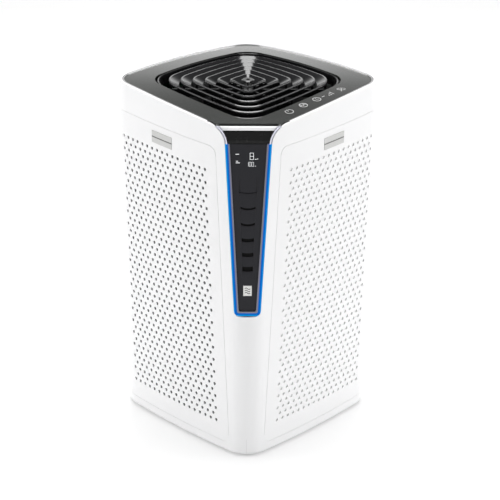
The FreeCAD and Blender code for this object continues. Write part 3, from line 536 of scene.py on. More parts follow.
def thickened(name, sheet, thickness):
    """A shell of one thickness from a sheet that faces out of the -Y side."""
    mesh = bpy.data.meshes.new(name)
    sheet.to_mesh(mesh)
    shell = settled(name, mesh, modifiers=[("SOLIDIFY", {"thickness": thickness, "offset": -1})])
    soften(shell.data)
    return shell


def face_out(sheet):
    """Turns a sheet's faces to look out of the -Y side."""
    bmesh.ops.recalc_face_normals(sheet, faces=sheet.faces)
    if sum(face.normal.y * face.calc_area() for face in sheet.faces) > 0:
        bmesh.ops.reverse_faces(sheet, faces=sheet.faces)


def coated(piece, finish):
    piece.data.materials.clear()
    piece.data.materials.append(finish.material)


def lit_sheet_behind_holes():
    """A pale curved sheet behind the right cover's holes: painted light that shows through them."""
    sheet = bmesh.new()
    rows = []
    for row in range(ROWS + 1):
        places = [hole_place(column - 0.5, row - 0.5) for column in range(COLUMNS + 1)]
        rows.append([sheet.verts.new(round_body(along, z)) for along, z in places])
    for low, high in zip(rows, rows[1:]):
        for step in range(COLUMNS):
            sheet.faces.new((low[step], low[step + 1], high[step + 1], high[step]))
    face_out(sheet)
    sheet.normal_update()
    for vert in sheet.verts:
        vert.co -= vert.normal * LIT_SHEET_DEPTH
    lit_sheet = thickened("right_cover_lit_sheet", sheet, LIT_SHEET_THICKNESS)
    to_right(lit_sheet)
    # Painted light: the sheet's pale colour stands in for light falling into the right cover's holes.
    coated(lit_sheet, hazed("painted_light_sheet", (1600, 4), (0.8, 0.8, 0.8), (0.9, 0.9, 0.9), (0.86, 0.1), 0.0001))
    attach(lit_sheet, "right_cover_set")


def make_covers():
    flat = settled("flat_cover", pattern_cell(), perforation_tree(), {
        "Columns": COLUMNS, "Rows": ROWS})
    sheet = bmesh.new()
    sheet.from_mesh(flat.data)
    bpy.data.objects.remove(flat)
    cover_surround(sheet)
    bmesh.ops.remove_doubles(sheet, verts=sheet.verts, dist=WELD)
    for vert in sheet.verts:
        vert.co = round_body(vert.co.x, vert.co.y)
    face_out(sheet)
    left = thickened("left_cover_skin", sheet, SKIN)
    right = bpy.data.objects.new("right_cover_skin", left.data.copy())
    bpy.context.scene.collection.objects.link(right)
    to_right(right)
    for side, cover in (("left", left), ("right", right)):
        coated(cover, white)
        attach(cover, f"{side}_cover_set")
        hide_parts(f"{side}_cover")


make_covers()
lit_sheet_behind_holes()


# ---- plates, magnets and strikes -----------------------------------------------------------------
# A plain satin plate is glued near the top of each cover. Nickel-plated magnets sit behind the
# cover and hold to zinc-plated strikes on the housing's ledge. Magnets and strikes both get the
# zinc finish.

PLATE_RULE = 0.5385
PLATE_RULE_HALF = 0.0011

plate_finish = Finish("satin_plate", (0.6, 0.6, 0.6), 0.35, {"Metallic": 0.35})
brushed = plate_finish.place.stretched((60, 60, 1800)).noise(1, 3)
rule = (plate_finish.place.parts()[2] - PLATE_RULE).maths("ABSOLUTE") < PLATE_RULE_HALF
shade_mask = (brushed * 0.35 + rule).maths("MINIMUM", 1.0)
plate_finish.feed("Base Color", shade_mask.tint((0.62, 0.62, 0.61), (0.12, 0.12, 0.12)))
plate_finish.feed("Roughness", 0.28 + brushed * 0.16)
plate_finish.relief(brushed, 0.00002)
for side in ("left", "right"):
    dress(plate_finish, f"{side}_plate")
    dress(zinc, f"{side}_magnets", f"{side}_strikes")


# ---- roof ----------------------------------------------------------------------------------------
# The dark top frame is painted with a fine metallic and crowned from the display corner to the
# back. A bright plated line runs round it, and a pale satin bar closes it over the display strip.

roof_paint = Finish("dark_metallic", (0.03, 0.031, 0.03), 0.3, {
    "Metallic": 0.3, "Coat Weight": 0.35, "Coat Roughness": 0.18})
flake = roof_paint.place.noise(2600, 2)
sweep = roof_paint.place.noise(7, 2)
sparkle = flake * 0.6 + sweep * 0.4
roof_paint.feed("Base Color", sparkle.tint((0.016, 0.018, 0.016), (0.036, 0.039, 0.035)))
roof_paint.feed("Roughness", 0.18 + flake * 0.08 + sweep * 0.04)
roof_paint.relief(flake, 0.000012)
dress(roof_paint, "top_frame")
plated = hazed("bright_plate", (60, 3), (0.82, 0.82, 0.83), (0.9, 0.9, 0.9), (0.08, 0.1), 0.00001,
               {"Metallic": 1.0})
dress(plated, "trim_ring")
satin_bar = hazed("satin_plate_bar", (25, 2), (0.93, 0.93, 0.94), (0.98, 0.98, 0.98), (0.2, 0.12), 0.000003,
                  {"Metallic": 0.05})
dress(satin_bar, "corner_bar")


# ---- touch symbols -------------------------------------------------------------------------------
# Five touch symbols and a dash are screen-printed in pale grey on the +X side of the top frame,
# over the touch board.

ROOF_TOP = 0.610
FRAME_DEPTH = 0.0015
PRINT_LIFT, PRINT_THICK = 0.00004, 0.00012
PRINT_LINE = 0.0011
SYMBOL_X = 0.139
SYMBOL_HALF = 0.0068
SYMBOLS = (("power", -0.045), ("fan", -0.012), ("timer", 0.020), ("bars", 0.051), ("leaf", 0.079))
DASH_Y, DASH_HALF = 0.0355, 0.0035


def on_roof(x, y, lift):
    """A point at a height over the crowned top frame."""
    along = (x - y) / math.sqrt(2)
    reach = BOW - FRAME_DEPTH
    return Vector((x, y, ROOF_TOP - BOW + math.sqrt(reach ** 2 - along ** 2) + lift))


def ribbon(shape, points, width, place, closed=False):
    """A flat line of one width through points, as a thin closed slab set in place by a function."""
    count = len(points)
    rows = []
    for index, point in enumerate(points):
        before = points[index - 1] if closed or index else point
        after = points[(index + 1) % count] if closed or index < count - 1 else point
        run = (Vector(after) - Vector(before)).normalized()
        side = Vector((-run.y, run.x)) * width / 2
        left, right = Vector(point) + side, Vector(point) - side
        rows.append([shape.verts.new(place(*spot, level)) for spot, level in (
            (left, 1), (right, 1), (right, 0), (left, 0))])
    pairs = zip(rows, rows[1:] + rows[:1]) if closed else zip(rows, rows[1:])
    for first, second in pairs:
        for corner in range(4):
            after = (corner + 1) % 4
            shape.faces.new((first[corner], first[after], second[after], second[corner]))
    if not closed:
        shape.faces.new(rows[0][::-1])
        shape.faces.new(rows[-1])


def arc_points(centre, radius, start, stop, steps=20):
    """Points along an arc, its ends in degrees."""
    turns = [math.radians(start + (stop - start) * step / steps) for step in range(steps + 1)]
    return [(centre[0] + radius * math.cos(turn), centre[1] + radius * math.sin(turn)) for turn in turns]


def symbol_lines(kind):
    """The lines of a touch symbol in a unit square, each with whether it closes."""
    circle = (arc_points((0, 0), 1, 0, 342, 19), True)
    if kind == "power":
        return [(arc_points((0, 0), 1, 115, 425), False), ([(0, 0.2), (0, 1.15)], False)]
    if kind == "fan":
        petals = [(arc_points((0.5 * math.cos(turn), 0.5 * math.sin(turn)), 0.5, 0, 180, 10), False)
                  for turn in (math.radians(90), math.radians(210), math.radians(330))]
        return petals + [circle]
    if kind == "timer":
        return [circle, ([(0, 0.65), (0, 0), (0.45, -0.3)], False)]
    if kind == "leaf":
        return [(arc_points((-0.6, -0.6), 1.5, 0, 90, 12), False),
                (arc_points((0.7, 0.7), 1.5, 180, 270, 12), False), ([(-0.9, -0.9), (0.35, 0.35)], False)]
    return [([(x, -0.8), (x, top)], False) for x, top in ((-0.7, -0.2), (0, 0.3), (0.7, 0.9))]


def mesh_object(name, shape, finish):
    """A piece from a finished bmesh, its faces turned outwards."""
    bmesh.ops.recalc_face_normals(shape, faces=shape.faces)
    mesh = bpy.data.meshes.new(name)
    shape.to_mesh(mesh)
    shape.free()
    mesh.materials.append(finish.material)
    piece = bpy.data.objects.new(name, mesh)
    bpy.context.scene.collection.objects.link(piece)
    return piece


def printed(shape, points, centre, closed=False):
    """Prints a line on the top frame, about a place along its +X side."""
    ribbon(shape, points, PRINT_LINE, lambda a, b, level: on_roof(
        SYMBOL_X - b, centre + a, PRINT_LIFT + level * PRINT_THICK), closed)


def print_ink(name, low, high):
    ink = Finish(name, low, 0.5)
    ink.feed("Base Color", ink.place.noise(1500).tint(low, high))
    return ink


def touch_symbols():
    shape = bmesh.new()
    for kind, centre in SYMBOLS:
        for points, closed in symbol_lines(kind):
            printed(shape, [(SYMBOL_HALF * x, SYMBOL_HALF * y) for x, y in points], centre, closed)
    printed(shape, [(-DASH_HALF, 0), (DASH_HALF, 0)], DASH_Y)
    ink = print_ink("printed_grey", (0.5, 0.5, 0.5), (0.72, 0.72, 0.72))
    symbols = mesh_object("touch_symbols", shape, ink)
    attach(symbols, "housing")


touch_symbols()


# ---- outlet grille -------------------------------------------------------------------------------
# Six nested square blades slope down to the middle of the outlet, each with a flat lip that leans
# outwards. They are moulded in one with eight ribs and a collar, in glossy black. A small cap
# closes the middle.

RING_COUNT, FIRST_RING, RING_PITCH = 6, 0.0236, 0.0171
RING_CORNER = 0.33
BLADE_TOP = 0.0019
BLADE_SECTION = [(0, -0.0034), (0, -0.0012), (0.0003, -0.0006), (0.0022, -0.0002), (0.0027, -0.0008),
                 (0.0145, -0.0085), (0.0145, -0.0100), (0.0020, -0.0032)]
COLLAR_HALF, COLLAR_CORNER = 0.1246, 0.302
COLLAR_TOP = 0.0032
COLLAR_SECTION = [(0, -0.018), (0, -0.0003), (0.0004, 0), (0.0016, 0), (0.002, -0.0003), (0.002, -0.018)]
SIDE_BOW = 0.9
CORNER_TURNS = (0, 9, 18, 26, 33.8, 36.2, 38.6, 40.8, 43)
RIBS = 8
RIB_LOW, RIB_HIGH, RIB_HALF = 0.577, 0.591, 0.001
RIB_OVERLAP = 0.001
SQUARE_DIAGONAL = 1.27
STRUT_HALF, STRUT_DEPTH = 0.002, 0.0085
BLADE_MIDDLE = 0.0075
BOSS, BOSS_HEIGHT = 0.011, 0.012


def swept_section(name, section):
    """A closed tube whose points hold a turn round the outlet, a reach inwards and a height."""
    quarter = list(CORNER_TURNS) + [45] + [90 - turn for turn in CORNER_TURNS[:0:-1]]
    turns = [math.radians(turn + 90 * side - 180) for side in range(4) for turn in quarter]
    shape = bmesh.new()
    loops = [[shape.verts.new((turn, inward, rise)) for inward, rise in section] for turn in turns]
    for first, second in zip(loops, loops[1:] + loops[:1]):
        for step in range(len(section)):
            after = (step + 1) % len(section)
            shape.faces.new((first[step], second[step], second[after], first[after]))
    mesh = bpy.data.meshes.new(name)
    shape.to_mesh(mesh)
    return mesh


def nested_tree():
    """Repeats a section in round-cornered squares, and bends them to the crown of the roof."""
    tree, given = new_tree("nested_squares", {
        "Rings": ("Int", RING_COUNT), "First ring": ("Float", FIRST_RING),
        "Ring pitch": ("Float", RING_PITCH), "Corner share": ("Float", RING_CORNER),
        "Depth": ("Float", BLADE_TOP)})
    start = given["Geometry"]
    line = start.node("GeometryNodeMeshLine", inputs={"Count": given["Rings"], "Offset": (0, 0, 1)})
    rings = start.node("GeometryNodeInstanceOnPoints", inputs={"Points": line, "Instance": start})
    rings = start.node("GeometryNodeRealizeInstances", inputs={0: rings})
    turn, inward, level = start.node("GeometryNodeInputPosition").parts()
    ring = (level + 0.5).maths("FLOOR")
    half = given["First ring"] + ring * given["Ring pitch"] - inward
    cosine, sine = turn.maths("COSINE"), turn.maths("SINE")
    more = cosine.maths("ABSOLUTE").maths("MAXIMUM", sine.maths("ABSOLUTE"))
    less = cosine.maths("ABSOLUTE").maths("MINIMUM", sine.maths("ABSOLUTE"))
    corner = given["Corner share"]
    straight = 1 - corner
    skew = (more - less) * straight
    round_reach = (more + less) * straight + (corner * corner - skew * skew).maths("SQRT")
    in_corner = less > more * straight
    reach = half * (round_reach * in_corner + (1 - in_corner) / more)
    flat_x, flat_y = reach * cosine, reach * sine
    x = flat_x * (1 - flat_y * flat_y / (half * (2 * SIDE_BOW)))
    y = flat_y * (1 - flat_x * flat_x / (half * (2 * SIDE_BOW)))
    fall = (x - y) * (x - y) / (4 * BOW)
    z = ROOF_TOP - given["Depth"] - fall + (level - ring)
    place = start.node("ShaderNodeCombineXYZ", inputs={0: x, 1: y, 2: z})
    placed = start.node("GeometryNodeSetPosition", inputs={"Geometry": rings, "Position": place})
    end_tree(tree, placed, grille_black)
    return tree


def grille_rib(shape, index):
    """One rib from the boss to the collar, with a strut up to each blade."""
    diagonal = SQUARE_DIAGONAL if index % 2 else 1.0
    turn = Matrix.Rotation(2 * math.pi * index / RIBS, 4, "Z")
    blocks = [(BOSS - RIB_OVERLAP, (COLLAR_HALF - RIB_OVERLAP) * diagonal, RIB_LOW, RIB_HIGH)]
    for ring in range(RING_COUNT):
        middle = (FIRST_RING + ring * RING_PITCH - BLADE_MIDDLE) * diagonal
        spot = turn @ Vector((middle, 0, 0))
        top = ROOF_TOP - STRUT_DEPTH - (spot.x - spot.y) ** 2 / (4 * BOW)
        blocks.append((middle - STRUT_HALF, middle + STRUT_HALF, RIB_HIGH - RIB_OVERLAP, top))
    for near, far, low, high in blocks:
        made = bmesh.ops.create_cube(shape, size=1)["verts"]
        for vert in made:
            corner = Vector((near if vert.co.x < 0 else far, math.copysign(RIB_HALF, vert.co.y),
                             low if vert.co.z < 0 else high))
            vert.co = turn @ corner


def outlet_grille():
    tree = nested_tree()
    blades = settled("outlet_blades", swept_section("blade_section", BLADE_SECTION), tree, {
        "Rings": RING_COUNT})
    collar = settled("outlet_collar", swept_section("collar_section", COLLAR_SECTION), tree, {
        "Rings": 1, "First ring": COLLAR_HALF, "Corner share": COLLAR_CORNER, "Depth": COLLAR_TOP})
    shape = bmesh.new()
    shape.from_mesh(blades.data)
    shape.from_mesh(collar.data)
    for index in range(RIBS):
        grille_rib(shape, index)
    boss = bmesh.ops.create_cone(shape, cap_ends=True, segments=32, radius1=BOSS,
                                 radius2=BOSS - RIB_OVERLAP, depth=BOSS_HEIGHT)
    bmesh.ops.translate(shape, verts=boss["verts"], vec=(0, 0, RIB_LOW + BOSS_HEIGHT / 2))
    for made in (blades, collar):
        bpy.data.objects.remove(made)
    grille = mesh_object("outlet_blades", shape, grille_black)
    soften(grille.data, 35)
    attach(grille, "housing")
    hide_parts("outlet_grille")


grille_black = Finish("gloss_black", (0.012, 0.012, 0.013), 0.16, {
    "Coat Weight": 0.5, "Coat Roughness": 0.08})
ripple = grille_black.place.noise(40, 2)
dust = grille_black.place.noise(700, 3)
grille_black.feed("Roughness", 0.14 + ripple * 0.08 + dust * 0.04)
grille_black.feed("Base Color", dust.tint((0.009, 0.009, 0.01), (0.02, 0.02, 0.021)))
grille_black.relief(ripple, 0.00008)
outlet_grille()
dress(grille_black, "grille_cap")


# ---- display strip: carrier, light and bevel -------------------------------------------------------
# The strip is a tapered sandwich let into the display corner. A clear light guide runs round its
# edge, lit blue by diodes, and a satin silver bevel separates it from the dark panel. Above, a
# silver line follows the flare of the recess, and a black cove leads up to the bar.

STRIP_LOW, SHOULDER = 0.268, 0.572
STRIP_U_LOW, STRIP_U_HIGH = 0.2041, 0.1952
STRIP_HALF_LOW, STRIP_HALF_HIGH = 0.0225, 0.038
ACROSS = Vector((1, 1, 0)).normalized()
OUT_OF_CORNER = Vector((1, -1, 0)).normalized()
STRIP_FOOT = OUT_OF_CORNER * STRIP_U_LOW + Vector((0, 0, STRIP_LOW))
STRIP_HEAD = OUT_OF_CORNER * STRIP_U_HIGH + Vector((0, 0, SHOULDER))
UP_STRIP = (STRIP_HEAD - STRIP_FOOT).normalized()
OUT_OF_STRIP = ACROSS.cross(UP_STRIP)
STRIP_LENGTH = (STRIP_HEAD - STRIP_FOOT).length
EDGE_LIGHT = 0.003


def on_strip(across, up, out):
    """A point of the strip: across it, up from its foot, and out of the housing."""
    return STRIP_FOOT + ACROSS * across + UP_STRIP * up + OUT_OF_STRIP * out


def strip_half(up):
    """Half the width of the strip's recess at a height up it."""
    return STRIP_HALF_LOW + (STRIP_HALF_HIGH - STRIP_HALF_LOW) * up / STRIP_LENGTH


lit = Finish("lit_guide", (0.02, 0.25, 0.7), 0.45, {
    "Emission Strength": 1.0, "Specular IOR Level": 0.1})
x, y, z = lit.place.parts()
off_middle = ((x + y) / math.sqrt(2)).maths("ABSOLUTE")
edge = STRIP_HALF_LOW + (z - STRIP_LOW) * ((STRIP_HALF_HIGH - STRIP_HALF_LOW) / (SHOULDER - STRIP_LOW))
inward = ((edge - off_middle) / EDGE_LIGHT).maths("MINIMUM", (z - STRIP_LOW) / EDGE_LIGHT)
glow = inward.node("ShaderNodeValToRGB", {"stops": [(0.3, 0.0), (1.0, 1.0)]}, {0: inward})
lit.feed("Emission Color", glow.tint((0.0, 0.33, 0.8), (0.0, 0.1, 0.46)))
lit.feed("Base Color", glow.tint((0.0, 0.05, 0.08), (0.0, 0.02, 0.06)))
dress(duct_black, "strip_carrier")
dress(lit, "light_guide")
bevel = hazed("bevel_silver", (1400, 2), (0.17, 0.17, 0.22), (0.25, 0.25, 0.31), (0.3, 0.12), 0.00001,
              {"Metallic": 0.7})
dress(bevel, "strip_bezel")
shoulder = hazed("shoulder_silver", (300, 2), (0.55, 0.55, 0.64), (0.68, 0.68, 0.75), (0.18, 0.1), 0.00001,
                 {"Metallic": 0.85})
dress(shoulder, "shoulder_trim")
cove_black = hazed("cove_black", (120, 3), (0.004, 0.004, 0.004), (0.009, 0.009, 0.009), (0.2, 0.12),
                   0.000005, {"Specular IOR Level": 0.12})
dress(cove_black, "head_cove")


# ---- dark panel with sensor vents ------------------------------------------------------------------
# The panel is one charcoal moulding, slightly crowned across. A column of overlapping scales runs
# down its middle, and the slots under their lips let room air in to the dust sensor. The deep floors
# of the slots are coloured near black: painted shade under the lips.

PANEL_INSET = 0.0082
PANEL_BACK, PANEL_FACE = -0.005, -0.0022
PANEL_CROWN = 0.0008
PANEL_FOOT_ROUND = 0.003
SLOT_DEPTH = 0.0024
SCALE_DEPTH = 0.0011
SHARP = 0.00012
VENTS = [  # lip's height up the strip, half width, slot height, rise of the lip's ends
    (0.2195, 0.0146, 0.0016, 0.0022), (0.1925, 0.0126, 0.0036, 0.0030), (0.1645, 0.0117, 0.0040, 0.0028),
    (0.1385, 0.0104, 0.0062, 0.0016), (0.1130, 0.0094, 0.0070, 0.0010), (0.0885, 0.0088, 0.0088, 0.0008)]
GROOVE_TOP = 0.244
GROOVE = 0.0016
SLOT_SHADE = 0.0012
PLAIN_START, PLAIN_STEP = 0.02, 0.0075
FIRST_SCALE = 0.009
EDGE_MARGIN, TOP_GAP = 0.003, 0.0004
LIP_FADE = 0.02


def vent_half(up):
    """Half width of the column of vents at a height, between the widths of its slots."""
    heights = [(lip, half) for lip, half, _, _ in VENTS]
    if up >= heights[0][0]:
        return heights[0][1]
    for (high, wide), (low, narrow) in zip(heights, heights[1:]):
        if up >= low:
            return narrow + (wide - narrow) * (up - low) / (high - low)
    return heights[-1][1]


def lip_rise(up):
    """How far the row through a height curves up at the column's edge."""
    heights = [(lip, rise) for lip, _, _, rise in VENTS]
    near = min(heights, key=lambda item: abs(item[0] - up))
    fade = max(0, 1 - max(0, up - GROOVE_TOP) / LIP_FADE)
    return near[1] * fade


def panel_rows():
    """Heights of the rows of faces, doubled at each sharp edge, with the depth that each has."""
    top = STRIP_LENGTH - TOP_GAP
    rows = [(PANEL_INSET + PANEL_FOOT_ROUND * step, 0, 0) for step in (0, 0.06, 0.25, 0.6, 1)]
    rows += [(PLAIN_START + PLAIN_STEP * step, 0, 0) for step in range(7)]
    first = VENTS[-1][0] - VENTS[-1][2] - FIRST_SCALE
    rows.append((first, 0, 0))
    for index in range(len(VENTS) - 1, -1, -1):
        lip, _, slot, _ = VENTS[index]
        foot = lip - slot
        start = rows[-1][0]
        for step in range(1, 6):
            share = step / 6
            rows.append((start + (foot - start) * share, SCALE_DEPTH * share ** 2, 0))
        rows.append((foot - SHARP, SCALE_DEPTH, 0))
        rows.append((foot, SLOT_DEPTH, 0))
        rows.append((lip - SHARP, SLOT_DEPTH, 0))
        rows.append((lip, 0, 0))
    start = rows[-1][0]
    for step in range(1, 7):
        up = start + (GROOVE_TOP - start) * step / 6
        rows.append((up, 0, SLOT_DEPTH * 0.8 * (1 - step / 6)))
    rows += [(GROOVE_TOP + (top - GROOVE_TOP) * step / 8, 0, 0) for step in range(1, 9)]
    return rows


def panel_half(up):
    """Half width of the panel, drawn in round its foot."""
    half = strip_half(up) - PANEL_INSET
    above = up - PANEL_INSET
    if above < PANEL_FOOT_ROUND:
        half -= PANEL_FOOT_ROUND - math.sqrt(max(0, PANEL_FOOT_ROUND ** 2 - (PANEL_FOOT_ROUND - above) ** 2))
    return half


def panel_columns(up):
    """Places across the panel: outside the column of vents, at its edge, and within it."""
    half, vent = panel_half(up), min(vent_half(up), panel_half(up) - EDGE_MARGIN)
    inside = [vent * step / 6 for step in range(6)] + [vent - GROOVE, vent - GROOVE + SHARP]
    inside = sorted(inside) + [vent - SHARP]
    outside = [vent] + [vent + (half - vent) * step / 5 for step in range(1, 6)]
    right = [(place, True) for place in inside] + [(place, False) for place in outside]
    left = [(-place, within) for place, within in right[:0:-1]]
    return left + right, half, vent


def sensor_panel():
    shape = bmesh.new()
    front, back = [], []
    for up, sunk, groove in panel_rows():
        columns, half, vent = panel_columns(up)
        front_row, back_row = [], []
        for place, within in columns:
            share = min(abs(place) / vent, 1)
            lifted = up + lip_rise(up) * share ** 2 if abs(place) <= vent else up + lip_rise(up) * max(
                0, 1 - (abs(place) - vent) / (half - vent))
            depth = sunk if within else 0
            if within and abs(place) > vent - GROOVE + SHARP / 2:
                depth = max(depth, groove)
            crown = PANEL_CROWN * (1 - (place / half) ** 2)
            front_row.append(shape.verts.new(on_strip(place, lifted, PANEL_FACE + crown - depth)))
            back_row.append(shape.verts.new(on_strip(place, lifted, PANEL_BACK)))
        front.append(front_row)
        back.append(back_row)
    for low, high in zip(range(len(front)), range(1, len(front))):
        for step in range(len(front[0]) - 1):
            after = step + 1
            shape.faces.new((front[low][step], front[low][after], front[high][after], front[high][step]))
            shape.faces.new((back[low][step], back[high][step], back[high][after], back[low][after]))
        for step in (0, -1):
            shape.faces.new((front[low][step], front[high][step], back[high][step], back[low][step]))
    for end in (0, -1):
        for step in range(len(front[0]) - 1):
            shape.faces.new((front[end][step], back[end][step], back[end][step + 1], front[end][step + 1]))
    charcoal = Finish("charcoal_panel", (0.013, 0.013, 0.017), 0.42, {"Specular IOR Level": 0.25})
    x, y, z = charcoal.place.parts()
    out = x * OUT_OF_STRIP.x + y * OUT_OF_STRIP.y + z * OUT_OF_STRIP.z
    # Painted shade: points sunk deeper than SLOT_SHADE into the slots are coloured near black and made
    # rougher, for the shade under the lips.
    slot_painted_shade = out - STRIP_FOOT.dot(OUT_OF_STRIP) < PANEL_FACE - SLOT_SHADE
    speck = charcoal.place.noise(1700, 2)
    charcoal.feed("Base Color", slot_painted_shade.tint((0.012, 0.012, 0.016), (0.0008, 0.0008, 0.0008)))
    charcoal.feed("Roughness", 0.38 + speck * 0.08 + slot_painted_shade * 0.5)
    charcoal.relief(speck, 0.00004)
    panel = mesh_object("sensor_panel", shape, charcoal)
    soften(panel.data, 28)
    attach(panel, "housing")
    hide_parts("strip_fascia", "sensor_vents")


sensor_panel()


# ---- display characters ----------------------------------------------------------------------------
# Behind the panel's clear window a small lit display shows two readings, with a dash for each
# label. Its characters are seven-segment digits.

GLYPH_OUT = PANEL_FACE + PANEL_CROWN + 0.00005
GLYPH_THICK = 0.00008
SEGMENTS = {"a": ((0, 2), (1, 2)), "b": ((1, 2), (1, 1)), "c": ((1, 1), (1, 0)), "d": ((0, 0), (1, 0)),
            "e": ((0, 1), (0, 0)), "f": ((0, 2), (0, 1)), "g": ((0, 1), (1, 1))}
DIGITS = {"8": "abcdefg", "1": "bc", "0": "abcdef"}
DASH_LINE = 0.0009
DASHES = [  # left end, right end, height up the strip
    (0.0106, 0.0132, 0.2780), (0.0140, 0.0158, 0.2786), (0.0106, 0.0120, 0.2662),
    (-0.0205, -0.0150, 0.2866), (-0.0198, -0.0165, 0.2746), (-0.0200, -0.0135, 0.2718)]
LARGE_AT, LARGE, LARGE_LINE = (0.0028, 0.2775), (0.0056, 0.0112), 0.00055
SMALL_AT, SMALL, SMALL_LINE = (-0.0028, 0.2658), (0.0030, 0.0072), 0.0004
SMALL_STEP = 0.0042


def lit_characters():
    shape = bmesh.new()

    def place(across, up, level):
        return on_strip(across, up, GLYPH_OUT + level * GLYPH_THICK)

    def digit(number, left, low, size, line):
        for segment in DIGITS[number]:
            ends = [(left + size[0] * x, low + size[1] / 2 * y) for x, y in SEGMENTS[segment]]
            ribbon(shape, ends, line, place)

    digit("8", *LARGE_AT, LARGE, LARGE_LINE)
    for index, number in enumerate("100"):
        digit(number, SMALL_AT[0] + SMALL_STEP * index, SMALL_AT[1], SMALL, SMALL_LINE)
    for left, right, up in DASHES:
        ribbon(shape, [(left, up), (right, up)], DASH_LINE, place)
    light = Finish("display_light", (0.5, 0.5, 0.5), 0.5, {"Emission Strength": 1.0})
    flicker = light.place.noise(900, 2)
    light.feed("Emission Color", flicker.tint((0.7, 0.72, 0.74), (0.92, 0.94, 0.96)))
    characters = mesh_object("display_characters", shape, light)
    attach(characters, "housing")
    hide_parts("display_window")


lit_characters()


# ---- sensor tile -----------------------------------------------------------------------------------
# A small pale tile is glued near the foot of the panel. It is printed with a plain sign for moving
# air: three waves.

TILE_FOOT, TILE_HEAD, TILE_HALF = 0.036, 0.055, 0.007
TILE_FACE = -0.0011
TILE_EDGE = 0.0004
MARK_LIFT = 0.00003
WAVES = (0.0415, 0.0455, 0.0495)
WAVE_HALF, WAVE_RISE, WAVE_LINE, WAVE_STEPS = 0.0045, 0.0012, 0.0011, 18


def sensor_tile():
    shape = bmesh.new()
    bmesh.ops.create_cube(shape, size=1)
    for vert in shape.verts:
        level = TILE_FACE if vert.co.z > 0 else PANEL_FACE
        up = TILE_FOOT + (TILE_HEAD - TILE_FOOT) * (vert.co.y + 0.5)
        vert.co = on_strip(2 * TILE_HALF * vert.co.x, up, level)
    bmesh.ops.bevel(shape, geom=list(shape.edges), offset=TILE_EDGE, segments=2, affect="EDGES")
    pale = moulded("tile_pale", (0.78, 0.78, 0.76), 0.45, 1500, 0.00002, 0.02)
    tile = mesh_object("air_tile", shape, pale)
    soften(tile.data)
    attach(tile, "housing")
    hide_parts("emblem_tile")
    waves = bmesh.new()
    for level in WAVES:
        points = []
        for step in range(WAVE_STEPS + 1):
            share = step / WAVE_STEPS
            points.append((WAVE_HALF * (2 * share - 1), level + WAVE_RISE * math.sin(share * 2 * math.pi)))
        ribbon(waves, points, WAVE_LINE, lambda a, b, height: on_strip(
            a, b, TILE_FACE + MARK_LIFT + height * GLYPH_THICK))
    ink = print_ink("printed_black", (0.015, 0.015, 0.015), (0.035, 0.035, 0.035))
    print_mark = mesh_object("air_sign", waves, ink)
    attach(print_mark, "housing")


sensor_tile()


# ---- electrics -------------------------------------------------------------------------------------
# Glass-fibre boards carry the display, the touch pads and the power parts. The dust sensor is a
# plated can, and the mains inlet is a two-pin socket moulded in black and set in the rear wall.

laminate = Finish("green_laminate", (0.02, 0.13, 0.06), 0.4, {"Coat Weight": 0.3})
x, y, z = laminate.place.parts()
tracks = ((x + y) * 1800).maths("SINE") * (z * 1500).maths("SINE") > 0.55
laminate.feed("Base Color", tracks.tint((0.012, 0.11, 0.05), (0.03, 0.2, 0.09)))
laminate.feed("Roughness", 0.45 - tracks * 0.15)
laminate.relief(tracks + laminate.place.noise(900) * 0.3, 0.00003)
inlet_black = moulded("inlet_black", (0.02, 0.02, 0.021), 0.45, 1400, 0.00004, 0.08)
dress(laminate, "display_board", "touch_board", "main_board")
dress(duct_black, "board_tray")
dress(zinc, "particle_sensor")
dress(inlet_black, "mains_socket")


# ---- floor, lights and camera ----------------------------------------------------------------------
# The purifier stands on a pale floor in a white room that darkens overhead. Broad soft boxes light
# it from both sides and from above, and a smaller one from behind.

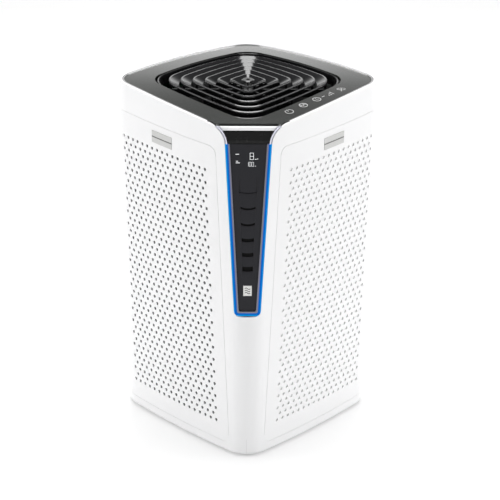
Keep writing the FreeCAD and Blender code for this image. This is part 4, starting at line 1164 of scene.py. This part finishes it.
CAMERA_AT = Vector((2.38414, -2.41838, 1.90623))
CAMERA_AIM = Vector((0.00387, 0.00380, 0.29225))
CAMERA_ROLL = math.radians(0.40)
LENS, SENSOR = 156.0, 36
FLOOR_HALF = 9
LAMP_AIM = Vector((0, 0, 0.3))
LAMPS = [  # name, place, width, power
    ("left_box", (-2.3, -2.0, 1.2), 1.6, 26), ("right_box", (2.0, 2.3, 1.2), 1.6, 29),
    ("back_box", (-1.05, 1.05, 2.85), 0.8, 16), ("top_box", (-0.2, 0.2, 3.2), 1.6, 62)]
ROOM = [(0.0, 1.0), (0.05, 1.15), (0.27, 1.2), (0.44, 0.36), (0.66, 0.08)]
ROOM_STRENGTH = 1.13


def studio():
    floor_shape = bmesh.new()
    bmesh.ops.create_grid(floor_shape, x_segments=2, y_segments=2, size=FLOOR_HALF)
    floor_paint = Finish("floor_paint", (0.9, 0.9, 0.9), 0.6, {
        "Emission Color": (1, 1, 1, 1), "Emission Strength": 0.26})
    mottle = floor_paint.place.noise(3, 4)
    floor_paint.feed("Base Color", mottle.tint((0.87, 0.87, 0.87), (0.9, 0.9, 0.9)))
    floor = mesh_object("floor", floor_shape, floor_paint)
    if floor.data.polygons[0].normal.z < 0:
        floor.data.flip_normals()

    for name, place, size, power in LAMPS:
        lamp = bpy.data.lights.new(name, "AREA")
        lamp.size = size
        lamp.energy = power
        holder = bpy.data.objects.new(name, lamp)
        bpy.context.scene.collection.objects.link(holder)
        holder.location = place
        holder.rotation_euler = (LAMP_AIM - Vector(place)).to_track_quat("-Z", "Y").to_euler()

    world = bpy.data.worlds.new("white_room")
    bpy.context.scene.world = world
    world.use_nodes = True
    tree = world.node_tree
    backdrop = tree.nodes["Background"]
    direction = Shade(tree, tree.nodes.new("ShaderNodeTexCoord").outputs["Generated"])
    upward = direction.parts()[2]
    room = upward.node("ShaderNodeValToRGB", {"stops": ROOM}, {0: upward})
    tree.links.new(room.output, backdrop.inputs["Color"])
    backdrop.inputs["Strength"].default_value = ROOM_STRENGTH

    back = (CAMERA_AT - CAMERA_AIM).normalized()
    level = Vector((-back.y, back.x, 0)).normalized()
    right = level * math.cos(CAMERA_ROLL) + back.cross(level) * math.sin(CAMERA_ROLL)
    up = back.cross(right)
    turned = Matrix((right, up, back)).transposed().to_4x4()
    camera = bpy.data.cameras.new("camera")
    camera.lens = LENS
    camera.sensor_width = SENSOR
    holder = bpy.data.objects.new("camera", camera)
    bpy.context.scene.collection.objects.link(holder)
    holder.matrix_world = Matrix.Translation(CAMERA_AT) @ turned
    bpy.context.scene.camera = holder
    bpy.context.scene.view_settings.view_transform = "Standard"


studio()
